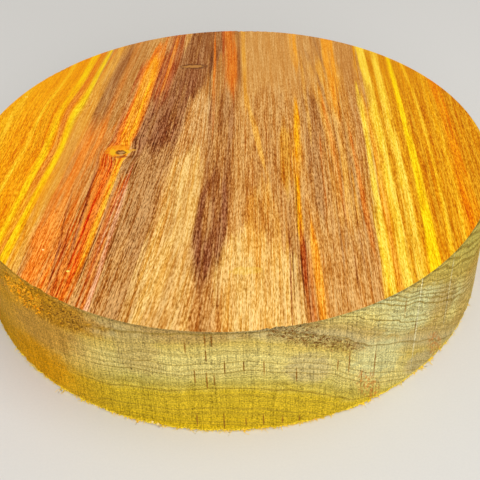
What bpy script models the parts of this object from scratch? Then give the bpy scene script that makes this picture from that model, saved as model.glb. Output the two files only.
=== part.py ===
"""Canarywood bowl blank: a round slab of solid wood, sawn from a plank and planed on top.

It is one piece of wood, so it is one object. The grain runs along Y: the sides
that face -Y and +Y are end grain, and those that face -X and +X are side grain.

Metres, +Z up. The origin is at the middle of the underside.
"""

import math

import bpy

# Driving dimensions
DIAMETER = 0.2032
THICKNESS = 0.0484

# The planed face meets the side in a crisp edge, and the saw leaves a softer one below
PLANED_EDGE = 0.0003
SAWN_EDGE = 0.0008

# Straight steps that the round outline is made of
OUTLINE_STEPS = 192
SMOOTH_BELOW = math.radians(30)

# The wood: a satin orange brown between its yellow and its plum stripes
WOOD_COLOUR = (0.53, 0.22, 0.045, 1.0)
WOOD_ROUGHNESS = 0.55
WOOD_METALLIC = 0.0


def clear_scene():
    for leftover in list(bpy.data.objects):
        bpy.data.objects.remove(leftover, do_unlink=True)


def wood_material():
    material = bpy.data.materials.new("canarywood")
    material.use_nodes = True
    shader = material.node_tree.nodes["Principled BSDF"]
    shader.inputs["Base Color"].default_value = WOOD_COLOUR
    shader.inputs["Roughness"].default_value = WOOD_ROUGHNESS
    shader.inputs["Metallic"].default_value = WOOD_METALLIC
    return material


def blank_profile():
    """Half of the upright section, from the middle of the top out to the rim and back below."""
    radius = DIAMETER / 2
    return [
        (0, 0, THICKNESS),
        (radius - PLANED_EDGE, 0, THICKNESS),
        (radius, 0, THICKNESS - PLANED_EDGE),
        (radius, 0, SAWN_EDGE),
        (radius - SAWN_EDGE, 0, 0),
        (0, 0, 0),
    ]


def turned(name, profile, steps):
    """The profile, swept a full turn about Z into one closed body."""
    mesh = bpy.data.meshes.new(name)
    mesh.from_pydata(profile, [(i, i + 1) for i in range(len(profile) - 1)], [])
    body = bpy.data.objects.new(name, mesh)

    sweep = body.modifiers.new("sweep", "SCREW")
    sweep.axis = "Z"
    sweep.angle = math.tau
    sweep.steps = steps
    sweep.render_steps = steps
    sweep.use_merge_vertices = True
    sweep.merge_threshold = 0.00001
    sweep.use_smooth_shade = True
    return body


def shade(body):
    """Smooth round the side, with the edges of both faces left crisp."""
    graph = bpy.context.evaluated_depsgraph_get()
    mesh = bpy.data.meshes.new_from_object(body.evaluated_get(graph))
    body.modifiers.clear()
    body.data = mesh
    mesh.shade_smooth()
    mesh.set_sharp_from_angle(angle=SMOOTH_BELOW)


def build_bowl_blank(collection):
    blank = turned("bowl_blank", blank_profile(), OUTLINE_STEPS)
    collection.objects.link(blank)
    shade(blank)
    blank.data.materials.append(wood_material())
    return blank


def main():
    clear_scene()
    collection = bpy.data.collections.new("canarywood_bowl_blank")
    bpy.context.scene.collection.children.link(collection)
    build_bowl_blank(collection)


main()
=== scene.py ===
"""Canarywood bowl blank: the looks of its planed face, its sawn side and its torn lower edge.

The blank is a disc of solid wood whose grain runs along Y. Its colours come from one
solid pattern: growth rings that arch over a centre below the blank, stripes that run
along the grain, and pores. The planed face shows it clean and bright, and the saw
leaves it dull, ribbed and furry round the side.
"""

import math

import bpy
from bpy.props import FloatProperty, FloatVectorProperty, IntProperty, PointerProperty
from bpy.types import Operator, Panel, PropertyGroup
from mathutils import Matrix, Vector


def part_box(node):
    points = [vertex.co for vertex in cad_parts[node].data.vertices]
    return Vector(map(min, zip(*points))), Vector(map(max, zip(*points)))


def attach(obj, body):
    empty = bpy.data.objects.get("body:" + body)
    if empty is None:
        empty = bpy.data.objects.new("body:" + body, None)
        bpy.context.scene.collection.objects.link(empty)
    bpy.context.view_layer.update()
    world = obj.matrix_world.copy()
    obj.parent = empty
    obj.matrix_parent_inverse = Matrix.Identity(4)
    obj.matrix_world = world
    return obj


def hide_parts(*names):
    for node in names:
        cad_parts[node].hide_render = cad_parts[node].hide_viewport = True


bl_info = {
    "name": "Canarywood Bowl Blank",
    "version": (1, 0, 0),
    "blender": (4, 5, 0),
    "location": "3D View > Sidebar > Bowl Blank",
    "description": "Makes a sawn disc of canarywood with a planed face",
    "category": "Add Mesh",
}

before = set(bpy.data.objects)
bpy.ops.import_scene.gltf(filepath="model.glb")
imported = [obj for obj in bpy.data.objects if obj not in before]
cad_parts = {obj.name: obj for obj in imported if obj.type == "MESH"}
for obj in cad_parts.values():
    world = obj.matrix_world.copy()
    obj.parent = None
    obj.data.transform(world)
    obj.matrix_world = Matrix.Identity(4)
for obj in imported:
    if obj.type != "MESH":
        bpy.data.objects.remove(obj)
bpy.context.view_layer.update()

NODE = "bowl_blank"
BODY = "root"
MM = 0.001
LOW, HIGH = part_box(NODE)
RADIUS = (HIGH.x - LOW.x) / 2
THICKNESS = HIGH.z - LOW.z

# The same sizes in millimetres, which the wood's pattern is given in
RADIUS_MM = RADIUS / MM
THICKNESS_MM = THICKNESS / MM
ARC_PER_DEGREE = math.radians(RADIUS_MM)


def linear(code):
    """The linear colour of a web colour code."""
    parts = [int(code[i : i + 2], 16) / 255 for i in (1, 3, 5)]
    return [c / 12.92 if c <= 0.04045 else ((c + 0.055) / 1.055) ** 2.4 for c in parts]


# The wood's colours, by the names that its stripes and patches use
WOOD_COLOURS = {
    "canary": ("#FFD40A", "the brightest yellow stripes"),
    "lemon": ("#FFD640", "pale yellow stripes"),
    "sun": ("#FDC41E", "soft yellow stripes"),
    "amber": ("#F6A40A", "the yellow left side"),
    "ochre": ("#E2940A", "the yellow right side"),
    "marigold": ("#EC8C04", "deep orange yellow"),
    "gold": ("#D98C0C", "dark amber"),
    "honey": ("#EAA63E", "light amber"),
    "apricot": ("#F4A42E", "bright apricot lines"),
    "tangerine": ("#F48C2A", "light orange patches"),
    "orange": ("#E47E22", "orange patches"),
    "ember": ("#EA6A14", "the red orange stripe through the knot"),
    "flame": ("#FC9E16", "the glowing middle of that stripe"),
    "rust": ("#BE5C24", "red brown lines"),
    "brick": ("#9C4A24", "dark red lines"),
    "dark_red": ("#702C12", "the darkest red threads"),
    "pink": ("#E29A66", "pinkish threads beside the knot"),
    "straw": ("#EDB962", "the palest heartwood"),
    "oat": ("#DCA45E", "pale heartwood"),
    "tan": ("#D89B4F", "light heartwood"),
    "fawn": ("#CA8B44", "middling heartwood"),
    "bark": ("#BA7F42", "mid brown heartwood"),
    "brown": ("#A66A38", "brown heartwood"),
    "plum": ("#965630", "purplish brown heartwood"),
    "shade": ("#6E3E20", "the darkest brown lines"),
    "sulphur": ("#C8A61A", "yellow end grain"),
    "mustard": ("#C6A82A", "deeper yellow end grain"),
    "khaki": ("#D2C072", "pale end grain"),
    "sage": ("#CAC488", "greenish end grain"),
    "drab": ("#C4AA55", "greyish end grain"),
    "dust": ("#BDA25F", "pinkish grey end grain"),
    "umber": ("#B08C4A", "brown end grain"),
    "olive": ("#C2B054", "olive end grain"),
    "moss": ("#8A7024", "the growth lines in the end grain"),
    "brass": ("#CF8F0C", "golden end grain on the left"),
    "bronze": ("#BC8C3A", "brownish gold end grain"),
    "stain": ("#BC7630", "rusty stains"),
    "check": ("#8E5C1E", "the fine checks in the end grain"),
    # Painted shade for the bottoms of torn holes
    "soot": ("#764C1C", "the bottoms of torn holes"),
    "ash": ("#B8A570", "grey end grain"),
    "bone": ("#E6DFB0", "pale saw scratches in the end grain"),
    "gilt": ("#F6B02C", "torn golden end grain"),
    "fibre": ("#FFDF3C", "torn fibres"),
    "crumb": ("#F6E0A0", "crumbs of sawdust"),
}

# Where the arch of the growth rings stands across the grain, how steeply it falls on each
# side, and how far from its middle the one slope gives way to the other
RING_APEX = 2.0
RING_CROWN = 40.0
RING_SLOPE_LEFT = 0.22
RING_SLOPE_RIGHT = 0.90
SLOPE_CHANGE = 15.0

# The grain leans across the blank on the left, and hardly at all on the right
LEAN_LEFT = 0.155
LEAN_RIGHT = 0.030
LEAN_CHANGE = (-35.0, 5.0)

# The knot's place across and along the grain, and how far the grain parts beside it
KNOT = (-42.8, 0.4)
KNOT_PARTS = 1.8

# Where that parting begins and is full, along the grain, across it and down from the planed
# face, and how far beside the knot the grain has turned aside
PART_ALONG = (10.0, 0.0)
PART_ACROSS = (14.0, 1.5)
PART_DOWN = (30.0, 5.0)
PART_TURN = 2.2

# A bend of the grain at the left: its middle, where it begins and is full along the grain and
# across it, and how far it goes
BEND_MIDDLE = 33.0
BEND_ALONG = (32.0, 0.0)
BEND_ACROSS = (-60.0, -67.0)
BEND = 2.0

# The knot's parts, the lowest first: colour, place across and along the grain from the knot's
# middle, half the width and length, and strength
KNOT_MARKS = (
    ("flame", (-1.4, 1.0), (4.2, 4.0), 0.75),
    ("sun", (-3.0, 0.2), (1.3, 2.2), 0.75),
    ("sun", (2.4, 0.3), (1.7, 1.4), 0.8),
    ("honey", (4.4, 1.4), (1.4, 0.8), 0.9),
    ("brick", (0.6, -3.2), (2.8, 0.8), 0.7),
    ("shade", (0.0, 0.0), (2.0, 1.4), 0.85),
    ("straw", (0.3, -1.7), (0.8, 0.5), 0.8),
    ("oat", (0.3, 0.2), (1.2, 0.6), 0.7),
)

# More marks of that kind, placed from the blank's middle: a pale spot near the front, and a
# pin knot farther back with a lighter middle
FACE_MARKS = (
    ("lemon", (5.0, -72.6), (5.4, 2.0), 0.22),
    ("shade", (-15.0, 67.5), (5.8, 2.3), 0.75),
    ("fawn", (-15.6, 67.5), (4.292, 1.15), 0.85),
)

# How ragged the marks are, and how softly they end
MARK_SIZES = (1.25, 1.25, 1.25)
MARK_RAGGED = 2.6
MARK_EDGE = (1.3, 0.7)

# The rows of the face, behind and before its middle, at which each stripe's place is given
ROW = 75.0
EVERYWHERE = (-300, 300)

# Stripes of the planed face, the lowest first, in millimetres. Each has its colour, its place
# across the grain at the back, middle and front rows, half its width at the back and front
# rows, the softness of its edges, the stretch of the grain that it runs along, and its strength.
STRIPES = (
    # Broad fields
    ("amber", (-101, -107, -117), (44, 44), 6, EVERYWHERE, 3.0),
    ("fawn", (-47, -56, -64), (9, 9), 5, EVERYWHERE, 2.0),
    ("tangerine", (-47, -57, -64), (6, 7), 7, (-110, 18), 0.9),
    ("brown", (-13, -31, -40), (9, 8), 5, (-10, 120), 2.0),
    ("bark", (-13, -30, -38), (9, 8), 5, (-120, -4), 2.0),
    ("tan", (17, 15, 12), (9, 8), 5, (30, 120), 2.0),
    ("fawn", (17, 17, 15), (9, 10), 6, (-62, 34), 1.0),
    ("straw", (5, 3, 8), (14, 14), 6, (-130, -66), 1.8),
    ("tan", (37, 37, 37), (8, 9), 6, (-120, -36), 1.0),
    ("orange", (-43.5, -54, -62), (1.3, 1.2), 2.4, (24, 110), 0.7),
    ("ochre", (94, 93, 88), (35, 36), 6, EVERYWHERE, 3.0),
    ("honey", (42, 43, 42), (6, 5), 6, (-44, 60), 0.9),
    ("fawn", (-20, -31, -40), (7, 7), 5, (-130, -70), 0.8),
    ("gold", (101, 100, 98), (9, 9), 6, EVERYWHERE, 0.9),
    # Left field
    ("orange", (-58.5, -70.7, -82.5), (1.4, 1.6), 1.6, EVERYWHERE, 0.9),
    ("marigold", (-65, -77.2, -89), (1.6, 1.6), 2.0, EVERYWHERE, 0.9),
    ("orange", (-53.5, -66, -77.7), (0.7, 0.8), 1.0, EVERYWHERE, 0.9),
    ("canary", (-61.5, -73.7, -85), (1.0, 1.4), 2.0, EVERYWHERE, 0.95),
    ("canary", (-55.7, -68, -80), (0.9, 1.4), 2.0, EVERYWHERE, 0.9),
    ("sun", (-68.5, -82.5, -96), (0.8, 0.8), 1.0, EVERYWHERE, 1.0),
    ("honey", (-51.5, -64, -76), (2.2, 2.0), 2.2, EVERYWHERE, 1.1),
    ("sun", (-82, -96, -110), (2.0, 3.0), 5.0, EVERYWHERE, 0.7),
    ("marigold", (-71.5, -85.5, -99), (1.0, 1.0), 2.0, EVERYWHERE, 0.9),
    # The bright stripe behind the knot
    ("tangerine", (-32.2, -43.0, -52), (4.0, 3.4), 1.8, (12, 76), 1.6),
    ("ember", (-36.2, -45.6, -53), (0.5, 0.5), 1.2, (12, 66), 0.9),
    ("orange", (-33.4, -43.6, -50), (0.6, 0.6), 1.2, (14, 76), 1.0),
    ("flame", (-32.2, -42.6, -51.4), (2.8, 2.4), 2.2, (14, 66), 1.4),
    ("apricot", (-32.8, -43.0, -51.6), (0.9, 0.9), 1.6, (20, 58), 1.3),
    ("sun", (-31.4, -41.4, -50.4), (0.3, 0.4), 0.8, (16, 52), 1.0),
    ("rust", (-37.6, -47.6, -56), (0.4, 0.5), 1.2, (6, 62), 0.9),
    ("rust", (-25.5, -34, -44), (4.0, 3.6), 2.5, (44, 120), 1.0),
    ("brick", (-28.4, -37.4, -46), (0.5, 0.5), 1.0, (40, 98), 0.9),
    ("brick", (-26.4, -35.0, -43), (0.4, 0.4), 0.9, (46, 98), 0.8),
    ("brick", (-22.9, -29.5, -36), (0.7, 0.7), 1.2, (40, 96), 0.8),
    ("orange", (-25.2, -33.6, -41), (0.7, 0.6), 0.9, (50, 92), 1.3),
    ("orange", (-30, -38.5, -47), (1.0, 1.0), 1.2, (76, 104), 1.2),
    # The ember stripe in front of the knot
    ("orange", (-44, -46.3, -55.5), (3.6, 3.4), 2.2, (-84, -8), 1.5),
    ("ember", (-43.6, -46.0, -55.4), (2.2, 1.6), 1.8, (-76, -10), 1.25),
    ("orange", (-46, -49.6, -58.6), (0.8, 0.8), 1.2, (-76, -4), 1.0),
    ("orange", (-31, -38.6, -47.6), (2.0, 2.2), 2.4, (-92, -26), 0.8),
    ("rust", (-31, -39.6, -49.2), (0.5, 0.6), 1.2, (-90, -16), 0.6),
    ("brown", (-46.5, -57.5, -66), (2.2, 2.0), 4.0, (26, 76), 0.9),
    ("pink", (-30, -36.8, -45.0), (0.9, 0.8), 0.8, (-104, -24), 2.0),
    ("pink", (-31.6, -38.6, -47.8), (0.4, 0.4), 0.7, (-104, -34), 1.1),
    ("flame", (-37, -42.2, -52.6), (1.3, 1.0), 1.4, (-62, -10), 1.5),
    ("sun", (-36.6, -41.6, -52.2), (0.3, 0.3), 0.8, (-62, -26), 0.8),
    ("brick", (-35.4, -40.5, -51.0), (0.25, 0.25), 0.6, (-70, -24), 1.0),
    ("brick", (-47, -50.5, -56.7), (0.6, 0.6), 1.0, (-74, -8), 0.9),
    ("tangerine", (-56, -62, -66), (4.0, 5.0), 3.4, (-96, -50), 1.6),
    ("rust", (-50, -55.4, -58.4), (0.8, 1.0), 2.0, (-90, -56), 0.8),
    ("orange", (-50, -54, -56.4), (1.6, 1.8), 1.8, (-92, -72), 0.8),
    ("brick", (-55, -58, -60.4), (0.4, 0.4), 0.6, (-84, -34), 0.9),
    # Brown heartwood
    ("plum", (-13, -30, -40), (5.0, 4.0), 6.0, (8, 54), 0.9),
    ("plum", (-24, -36.5, -45), (3.0, 2.6), 2.6, (8, 38), 0.7),
    ("brown", (0.5, -1.5, -4.0), (4.6, 4.4), 3.0, (14, 66), 0.5),
    ("shade", (-7.4, -9.0, -12), (0.3, 0.3), 0.9, (8, 74), 0.8),
    ("orange", (-5.6, -7.0, -8.2), (0.5, 0.5), 0.6, (20, 86), 1.2),
    ("orange", (0.8, 1.0, 1.0), (2.4, 2.4), 3.4, (56, 120), 0.9),
    ("orange", (3.2, 2.8, 2.4), (1.2, 1.2), 2.0, (58, 84), 0.9),
    ("rust", (-1.6, -1.4, -1.0), (0.4, 0.4), 1.2, (52, 98), 0.8),
    ("orange", (2.2, 1.6, 1.0), (0.9, 0.6), 1.8, (44, 86), 0.6),
    ("brown", (5.2, 4.2, 3.0), (0.8, 0.8), 1.2, (50, 120), 0.8),
    ("honey", (7.3, 7.2, 8.0), (0.7, 0.8), 0.9, (36, 120), 1.0),
    ("honey", (3.5, 12, 20), (0.9, 1.2), 1.0, (-4, 40), 1.0),
    # Pale heartwood beside the plum band
    ("oat", (-10.5, -14.0, -22.6), (2.4, 9.4), 4.2, (-8, 38), 1.1),
    ("straw", (-8.0, -14.6, -22.6), (1.2, 9.4), 3.4, (-120, -8), 1.1),
    ("straw", (-16.0, -20.6, -28.0), (0.8, 1.2), 1.2, (-106, -16), 0.9),
    ("brown", (-1.6, -4.0, -9.8), (4.4, 6.4), 2.4, (-66, 34), 0.48),
    ("plum", (-7.0, -8.2, -13.6), (0.5, 1.0), 1.6, (-56, 30), 0.5),
    ("plum", (2.4, -0.6, -6.0), (0.6, 1.4), 2.0, (-58, 20), 0.5),
    ("plum", (-2.0, -4.6, -9.8), (2.6, 5.8), 3.6, (-60, -28), 1.05),
    ("brown", (-6.4, -6.6, -6.9), (0.3, 0.3), 0.8, (-100, -56), 0.6),
    ("bark", (-9.0, -9.4, -9.9), (0.4, 0.5), 0.8, (-104, -60), 0.6),
    ("brown", (-3.0, -3.4, -4.2), (0.5, 0.6), 1.0, (-88, -50), 0.8),
    # Right of the middle
    ("honey", (14, 12.5, 12), (4, 6), 4.0, (-62, -34), 0.6),
    ("gold", (22, 22.0, 20), (2.4, 2.4), 2.0, (-20, 10), 0.7),
    ("amber", (30.2, 26.8, 23.4), (1.3, 1.2), 2.0, (-50, 32), 1.5),
    ("apricot", (29.0, 28.4, 28.5), (0.9, 1.2), 1.6, (-120, -60), 1.5),
    ("rust", (25.2, 25.0, 25.0), (1.3, 1.5), 2.4, (-120, -62), 0.95),
    ("orange", (26.6, 26.4, 26.2), (0.4, 0.4), 0.8, (-120, -66), 0.9),
    ("dark_red", (28.6, 25.6, 22.3), (0.15, 0.15), 0.5, (-84, -34), 1.1),
    ("dark_red", (23.0, 22.4, 20.5), (0.25, 0.25), 0.5, (-84, -46), 1.0),
    ("dark_red", (28.0, 27.0, 25.2), (0.2, 0.2), 0.6, (-120, -58), 1.0),
    ("brick", (22.0, 21.6, 19.6), (0.2, 0.2), 0.5, (-96, -58), 0.9),
    ("dark_red", (23.4, 23.4, 23.4), (0.15, 0.15), 0.5, (-120, -66), 0.9),
    ("bark", (34.5, 33.6, 33.0), (3.2, 3.2), 3.4, (-34, 34), 1.3),
    ("bark", (42.0, 46.4, 47.6), (0.6, 0.6), 1.0, (-50, 84), 1.0),
    ("brown", (37, 38.8, 40), (0.4, 0.4), 1.2, (-16, 6), 0.9),
    ("apricot", (46.0, 44.4, 42.0), (2.1, 1.4), 1.8, (28, 110), 1.5),
    ("apricot", (31.0, 29.6, 28), (1.8, 1.4), 1.6, (72, 120), 1.0),
    ("honey", (33.4, 32.4, 31), (0.7, 0.7), 1.2, (14, 66), 0.6),
    ("orange", (38.5, 40.6, 41.6), (0.6, 0.7), 1.0, (-40, 26), 0.8),
    ("orange", (47.5, 48.4, 48.9), (0.7, 0.7), 1.0, (-56, 6), 0.8),
    ("orange", (37.0, 35.9, 34), (0.5, 0.5), 0.9, (-34, 2), 0.8),
    ("bark", (36.5, 42.5, 37.5), (0.5, 0.5), 1.2, (-60, 70), 0.9),
    ("bark", (33.0, 37.6, 33.5), (0.4, 0.4), 1.0, (-50, 60), 0.8),
    ("brown", (47.5, 45.6, 44.6), (0.4, 0.4), 1.0, (-70, 40), 0.7),
    ("brown", (41.0, 39.6, 37.5), (0.35, 0.35), 0.7, (-82, -38), 1.1),
    ("brown", (44, 43, 41.6), (0.5, 0.5), 1.0, (-78, -58), 0.9),
    # Right field
    ("lemon", (56.0, 54.8, 52.4), (0.4, 1.8), 2.0, (-120, 34), 1.4),
    ("apricot", (58.0, 56.9, 55.4), (0.7, 0.7), 1.2, (-120, 30), 0.8),
    ("lemon", (61.2, 60.6, 58.8), (2.4, 1.2), 2.0, EVERYWHERE, 1.8),
    ("gold", (63.6, 62.8, 61.2), (1.0, 0.8), 1.2, EVERYWHERE, 1.3),
    ("lemon", (66.2, 65.2, 63.2), (1.1, 1.5), 2.0, EVERYWHERE, 1.3),
    ("gold", (69.6, 68.8, 66.0), (0.9, 0.8), 1.4, (-40, 80), 1.0),
    ("gold", (70.0, 69.8, 66.4), (0.5, 0.5), 1.0, EVERYWHERE, 1.0),
    ("canary", (72.2, 71.6, 68.0), (0.9, 1.8), 1.6, EVERYWHERE, 1.5),
    ("gold", (74.2, 74.4, 72.6), (1.2, 1.2), 1.6, EVERYWHERE, 1.0),
    ("sun", (77.3, 78.6, 74.3), (0.7, 0.7), 1.0, EVERYWHERE, 1.2),
    ("gold", (80.6, 80.6, 77.3), (1.9, 1.8), 1.8, EVERYWHERE, 0.8),
    ("sun", (84.0, 84.4, 80.2), (0.9, 1.0), 2.0, EVERYWHERE, 0.9),
    ("marigold", (88.5, 88.4, 84.4), (2.6, 2.6), 3.0, EVERYWHERE, 1.2),
    ("gold", (91.6, 91.4, 89.0), (0.8, 0.8), 1.4, EVERYWHERE, 1.0),
)

# How long a stripe takes to run out at its ends, and how far its edges and ends waver, in
# millimetres
STRIPE_END = 20.0
EDGE_WAVER = 0.3
END_WAVER = 8.0

# What fills up the last group of three
NO_STRIPE = ("tan", (500, 500, 500), (0, 0), 1, EVERYWHERE, 0.0)

# Stripes of the wood nearer the rings' centre, which only the side and the underside show,
# by how far below the crown of the arch they lie, in millimetres
INNER_COLOURS = (
    (0, "bark"),
    (8, "tan"),
    (16, "fawn"),
    (25, "honey"),
    (31, "sun"),
    (44, "amber"),
    (60, "gold"),
)

# The end grain's colours by ring level: how far above the crown of the arch, in millimetres
RING_COLOURS = (
    (-45, "sulphur"),
    (-29, "mustard"),
    (-23.5, "olive"),
    (-18, "khaki"),
    (-11, "khaki"),
    (-5, "drab"),
    (0, "ash"),
    (5, "dust"),
    (11, "khaki"),
    (19, "sage"),
    (28, "drab"),
    (42, "olive"),
)
RING_RANGE = 50.0

# The plainest growth lines round the rings' centre: level, half width and strength
GROWTH_LINES = (
    (-42.6, 0.5, 0.45),
    (-38.2, 0.5, 0.35),
    (-36.4, 0.6, 0.40),
    (-31.0, 0.5, 0.45),
    (-27.2, 0.5, 0.40),
    (-25.0, 0.4, 0.35),
    (-23.3, 0.5, 0.35),
    (-16.2, 0.4, 0.65),
    (-12.8, 0.3, 0.45),
    (-9.4, 0.3, 0.35),
)

# Groups of dark growth lines farther out: the level of the middle one, half the group's
# width, the space between its lines, and its strength
RING_GROUPS = (
    (-21.0, 6.0, 1.5, 0.16),
    (-36.0, 7.0, 1.9, 0.14),
    (10.0, 6.0, 2.1, 0.45),
    (24.0, 8.0, 2.3, 0.58),
    (41.0, 10.0, 3.8, 0.66),
)

# Patches in the end grain. Each has its colour, its place round the side from the front in
# degrees and its depth below the planed face, half its width along the side and half its
# depth, how far it falls per millimetre along, the softness of its edge, and its strength.
PATCHES = (
    ("umber", (-10, 0), (22, 5.5), 0.0, 0.9, 0.8),
    ("bronze", (-41, 20), (16, 9), -0.15, 0.5, 0.9),
    ("umber", (-31, 17), (4, 6), 0.0, 0.8, 0.4),
    ("dust", (-18, 12), (8, 10), 0.0, 0.6, 0.7),
    ("ash", (14, 21), (8, 7), 0.2, 0.6, 0.7),
    ("sage", (38, 14), (16, 9), 0.2, 0.6, 0.95),
    ("sage", (29, 27), (11, 9), 0.3, 0.9, 0.85),
    ("umber", (47, 21), (9, 9), 0.3, 0.9, 0.7),
    ("ash", (41, 43), (8, 5), 0.3, 0.5, 0.9),
    ("bronze", (61, 32), (12, 14), 0.0, 0.9, 0.5),
    ("brass", (-44, 38), (16, 9), -0.1, 0.8, 0.8),
    ("bone", (38.4, 17), (0.34, 26), 0.0, 0.5, 0.65),
    ("bone", (48.7, 17), (0.3, 18), 0.0, 0.5, 0.55),
)

# Fine upright checks in the end grain: degrees from the front, and the depths they run between
CHECKS = (
    (-8.7, 5, 10), (-7.3, 17, 24), (-7.5, 39, 46), (-5, 0, 7), (-5, 8, 13),
    (-5.1, 18, 27), (-3.8, 1, 6), (-3.7, 19, 25), (-1.7, 12, 20), (-2.3, 39, 47),
    (1.8, 13, 18), (1.9, 41, 45), (5.5, 13, 21), (5.3, 40, 46), (9, 42, 46),
    (11.6, 19, 26), (12.4, 43, 47), (19.8, 20, 26), (22.2, 17, 29), (25.2, 30, 39),
    (28.1, 21, 35), (34.5, 5, 13), (38.1, 18, 25), (48.5, 17, 24),
)
CHECK_HALF_WIDTH = 0.26

# Where the saw tore the end grain out: a place, half sizes and a fall, as for the patches
TORN_LEFT = ((-38, 7.0), (23, 6.6), -0.05)
TORN_RIGHT = ((14.5, 8.0), (20, 3.4), 0.55)
TORN_TOP = ((10.5, 1.8), (9, 2.6), 0.05)
TORN = (TORN_LEFT, TORN_RIGHT, TORN_TOP)

# Where the torn ends stand up golden, and where rust has specked the wood, likewise
TORN_GOLD = ((-45.5, 8.0), (12, 5.4), -0.10)
STAINS = (((27.0, 39), (5.0, 6.0), 1.1), ((46.2, 41), (5.6, 6.0), 1.2))

# Pale crumbs of sawdust on the planed face: place across and along the grain
FACE_CRUMBS = ((-87.0, 45.0), (-65.0, -58.5), (-55.0, -70.0))

# Crumbs caught in the fur near the lower edge: degrees from the front, and height
SIDE_CRUMBS = ((-16.6, 2.3), (-15.4, 1.7))

# The camera, in the photograph's frame
CAMERA_LENS = 69.53
CAMERA_SENSOR = 36.0
CAMERA_ELEVATION = math.radians(39.54)
CAMERA_ROLL = math.radians(-1.81)
CAMERA_LOOKS_AT = Vector((3.25, -56.3, THICKNESS_MM)) * MM
CAMERA_DISTANCE = 0.3224


class Wire:
    """An output of a node, which sums and products read as plain arithmetic."""

    def __init__(self, sketch, socket):
        self.sketch = sketch
        self.socket = socket

    def __add__(self, other):
        return self.sketch.math("ADD", self, other)

    def __sub__(self, other):
        return self.sketch.math("SUBTRACT", self, other)

    def __rsub__(self, other):
        return self.sketch.math("SUBTRACT", other, self)

    def __mul__(self, other):
        return self.sketch.math("MULTIPLY", self, other)

    def __truediv__(self, other):
        return self.sketch.math("DIVIDE", self, other)

    def __rtruediv__(self, other):
        return self.sketch.math("DIVIDE", other, self)

    __radd__ = __add__
    __rmul__ = __mul__


class Sketch:
    """Writes the nodes of one tree from plain sums, so that a pattern reads as its rule."""

    columns = 14
    step = 190

    def __init__(self, tree):
        self.tree = tree

    def node(self, kind, feeds=None, **settings):
        made = self.tree.nodes.new(kind)
        place = len(self.tree.nodes)
        made.location = (self.step * (place % self.columns), -self.step * (place // self.columns))
        for name, value in settings.items():
            setattr(made, name, value)
        for name, value in (feeds or {}).items():
            self.feed(made.inputs[name], value)
        return made

    def feed(self, socket, value):
        if isinstance(value, Wire):
            self.tree.links.new(value.socket, socket)
        elif socket.type == "VECTOR" and isinstance(value, (int, float)):
            socket.default_value = (value,) * 3
        elif value is not None:
            socket.default_value = value

    def wire(self, node, output=0):
        return Wire(self, node.outputs[output])

    def make(self, kind, feeds=None, output=0, **settings):
        """The output of a new node."""
        return self.wire(self.node(kind, feeds, **settings), output)

    def group(self, tree, *values):
        made = self.node("ShaderNodeGroup", node_tree=tree)
        for place, value in enumerate(values):
            self.feed(made.inputs[place], value)
        return made

    def math(self, operation, *values):
        return self.make("ShaderNodeMath", dict(enumerate(values)), operation=operation)

    def vec(self, operation, *values):
        """One sum on three numbers at once."""
        return self.make("ShaderNodeVectorMath", dict(enumerate(values)), operation=operation)

    def scaled(self, vector, amount):
        feeds = {0: vector, "Scale": amount}
        return self.make("ShaderNodeVectorMath", feeds, operation="SCALE")

    def vector(self, x, y, z):
        return self.make("ShaderNodeCombineXYZ", {0: x, 1: y, 2: z})

    def parts(self, vector):
        split = self.node("ShaderNodeSeparateXYZ", {0: vector})
        return [self.wire(split, i) for i in range(3)]

    def abs(self, value):
        return self.math("ABSOLUTE", value)

    def smooth(self, value, low, high):
        """From 0 at low to 1 at high, with soft ends, whichever of the two is larger."""
        feeds = {"Value": value, "From Min": low, "From Max": high}
        return self.make("ShaderNodeMapRange", feeds, interpolation_type="SMOOTHSTEP")

    def smooth_three(self, value, low, high):
        """The same on three numbers at once."""
        feeds = {6: value, 7: low, 8: high}
        settings = {"data_type": "FLOAT_VECTOR", "interpolation_type": "SMOOTHSTEP"}
        return self.make("ShaderNodeMapRange", feeds, 1, **settings)

    def blend(self, first, second, share):
        """From the first number to the second."""
        return first + (second - first) * share

    def band(self, value, centre, half, soft):
        """1 within half of the centre, falling to 0 over soft."""
        return self.smooth(self.abs(value - centre), half + soft, half)

    def noise(self, vector, detail=2.0, roughness=0.5, output=0, **settings):
        feeds = {"Scale": 1.0, "Detail": detail, "Roughness": roughness}
        feeds["W" if settings.get("noise_dimensions") == "1D" else "Vector"] = vector
        return self.make("ShaderNodeTexNoise", feeds, output, **settings)

    def paint(self, under, over, share, blend_type="MIX"):
        """The second colour laid over the first."""
        feeds = {0: share, 6: under, 7: over}
        return self.make("ShaderNodeMix", feeds, 2, data_type="RGBA", blend_type=blend_type)

    def paint_three(self, colour, given, first, shares):
        """Three of a group's colours laid over another, by the three parts of a vector."""
        for place, way in enumerate(((1, 0, 0), (0, 1, 0), (0, 0, 1))):
            feeds = {0: shares, 1: way}
            share = self.make("ShaderNodeVectorMath", feeds, 1, operation="DOT_PRODUCT")
            colour = self.paint(colour, self.wire(given, first + place), share)
        return colour

    def ramp(self, value, stops):
        node = self.node("ShaderNodeValToRGB", {0: value})
        points = node.color_ramp.elements
        while len(points) < len(stops):
            points.new(0.5)
        for point, (place, colour) in zip(points, stops):
            point.position = place
            point.color = colour
        return self.wire(node)


def add_socket(tree, name, kind, default=None, output=False):
    """Adds a named input or output to a tree."""
    side = "OUTPUT" if output else "INPUT"
    made = tree.interface.new_socket(name=name, in_out=side, socket_type="NodeSocket" + kind)
    if default is not None:
        made.default_value = default
    return made


# Settings

def wood_colour(code, use):
    return FloatVectorProperty(
        name=use[0].upper() + use[1:], description=f"The colour of {use}", default=linear(code),
        size=3, subtype="COLOR", min=0.0, max=1.0)


class BowlBlankColours(PropertyGroup):
    """The wood's colours."""

    __annotations__ = {name: wood_colour(*about) for name, about in WOOD_COLOURS.items()}


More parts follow.
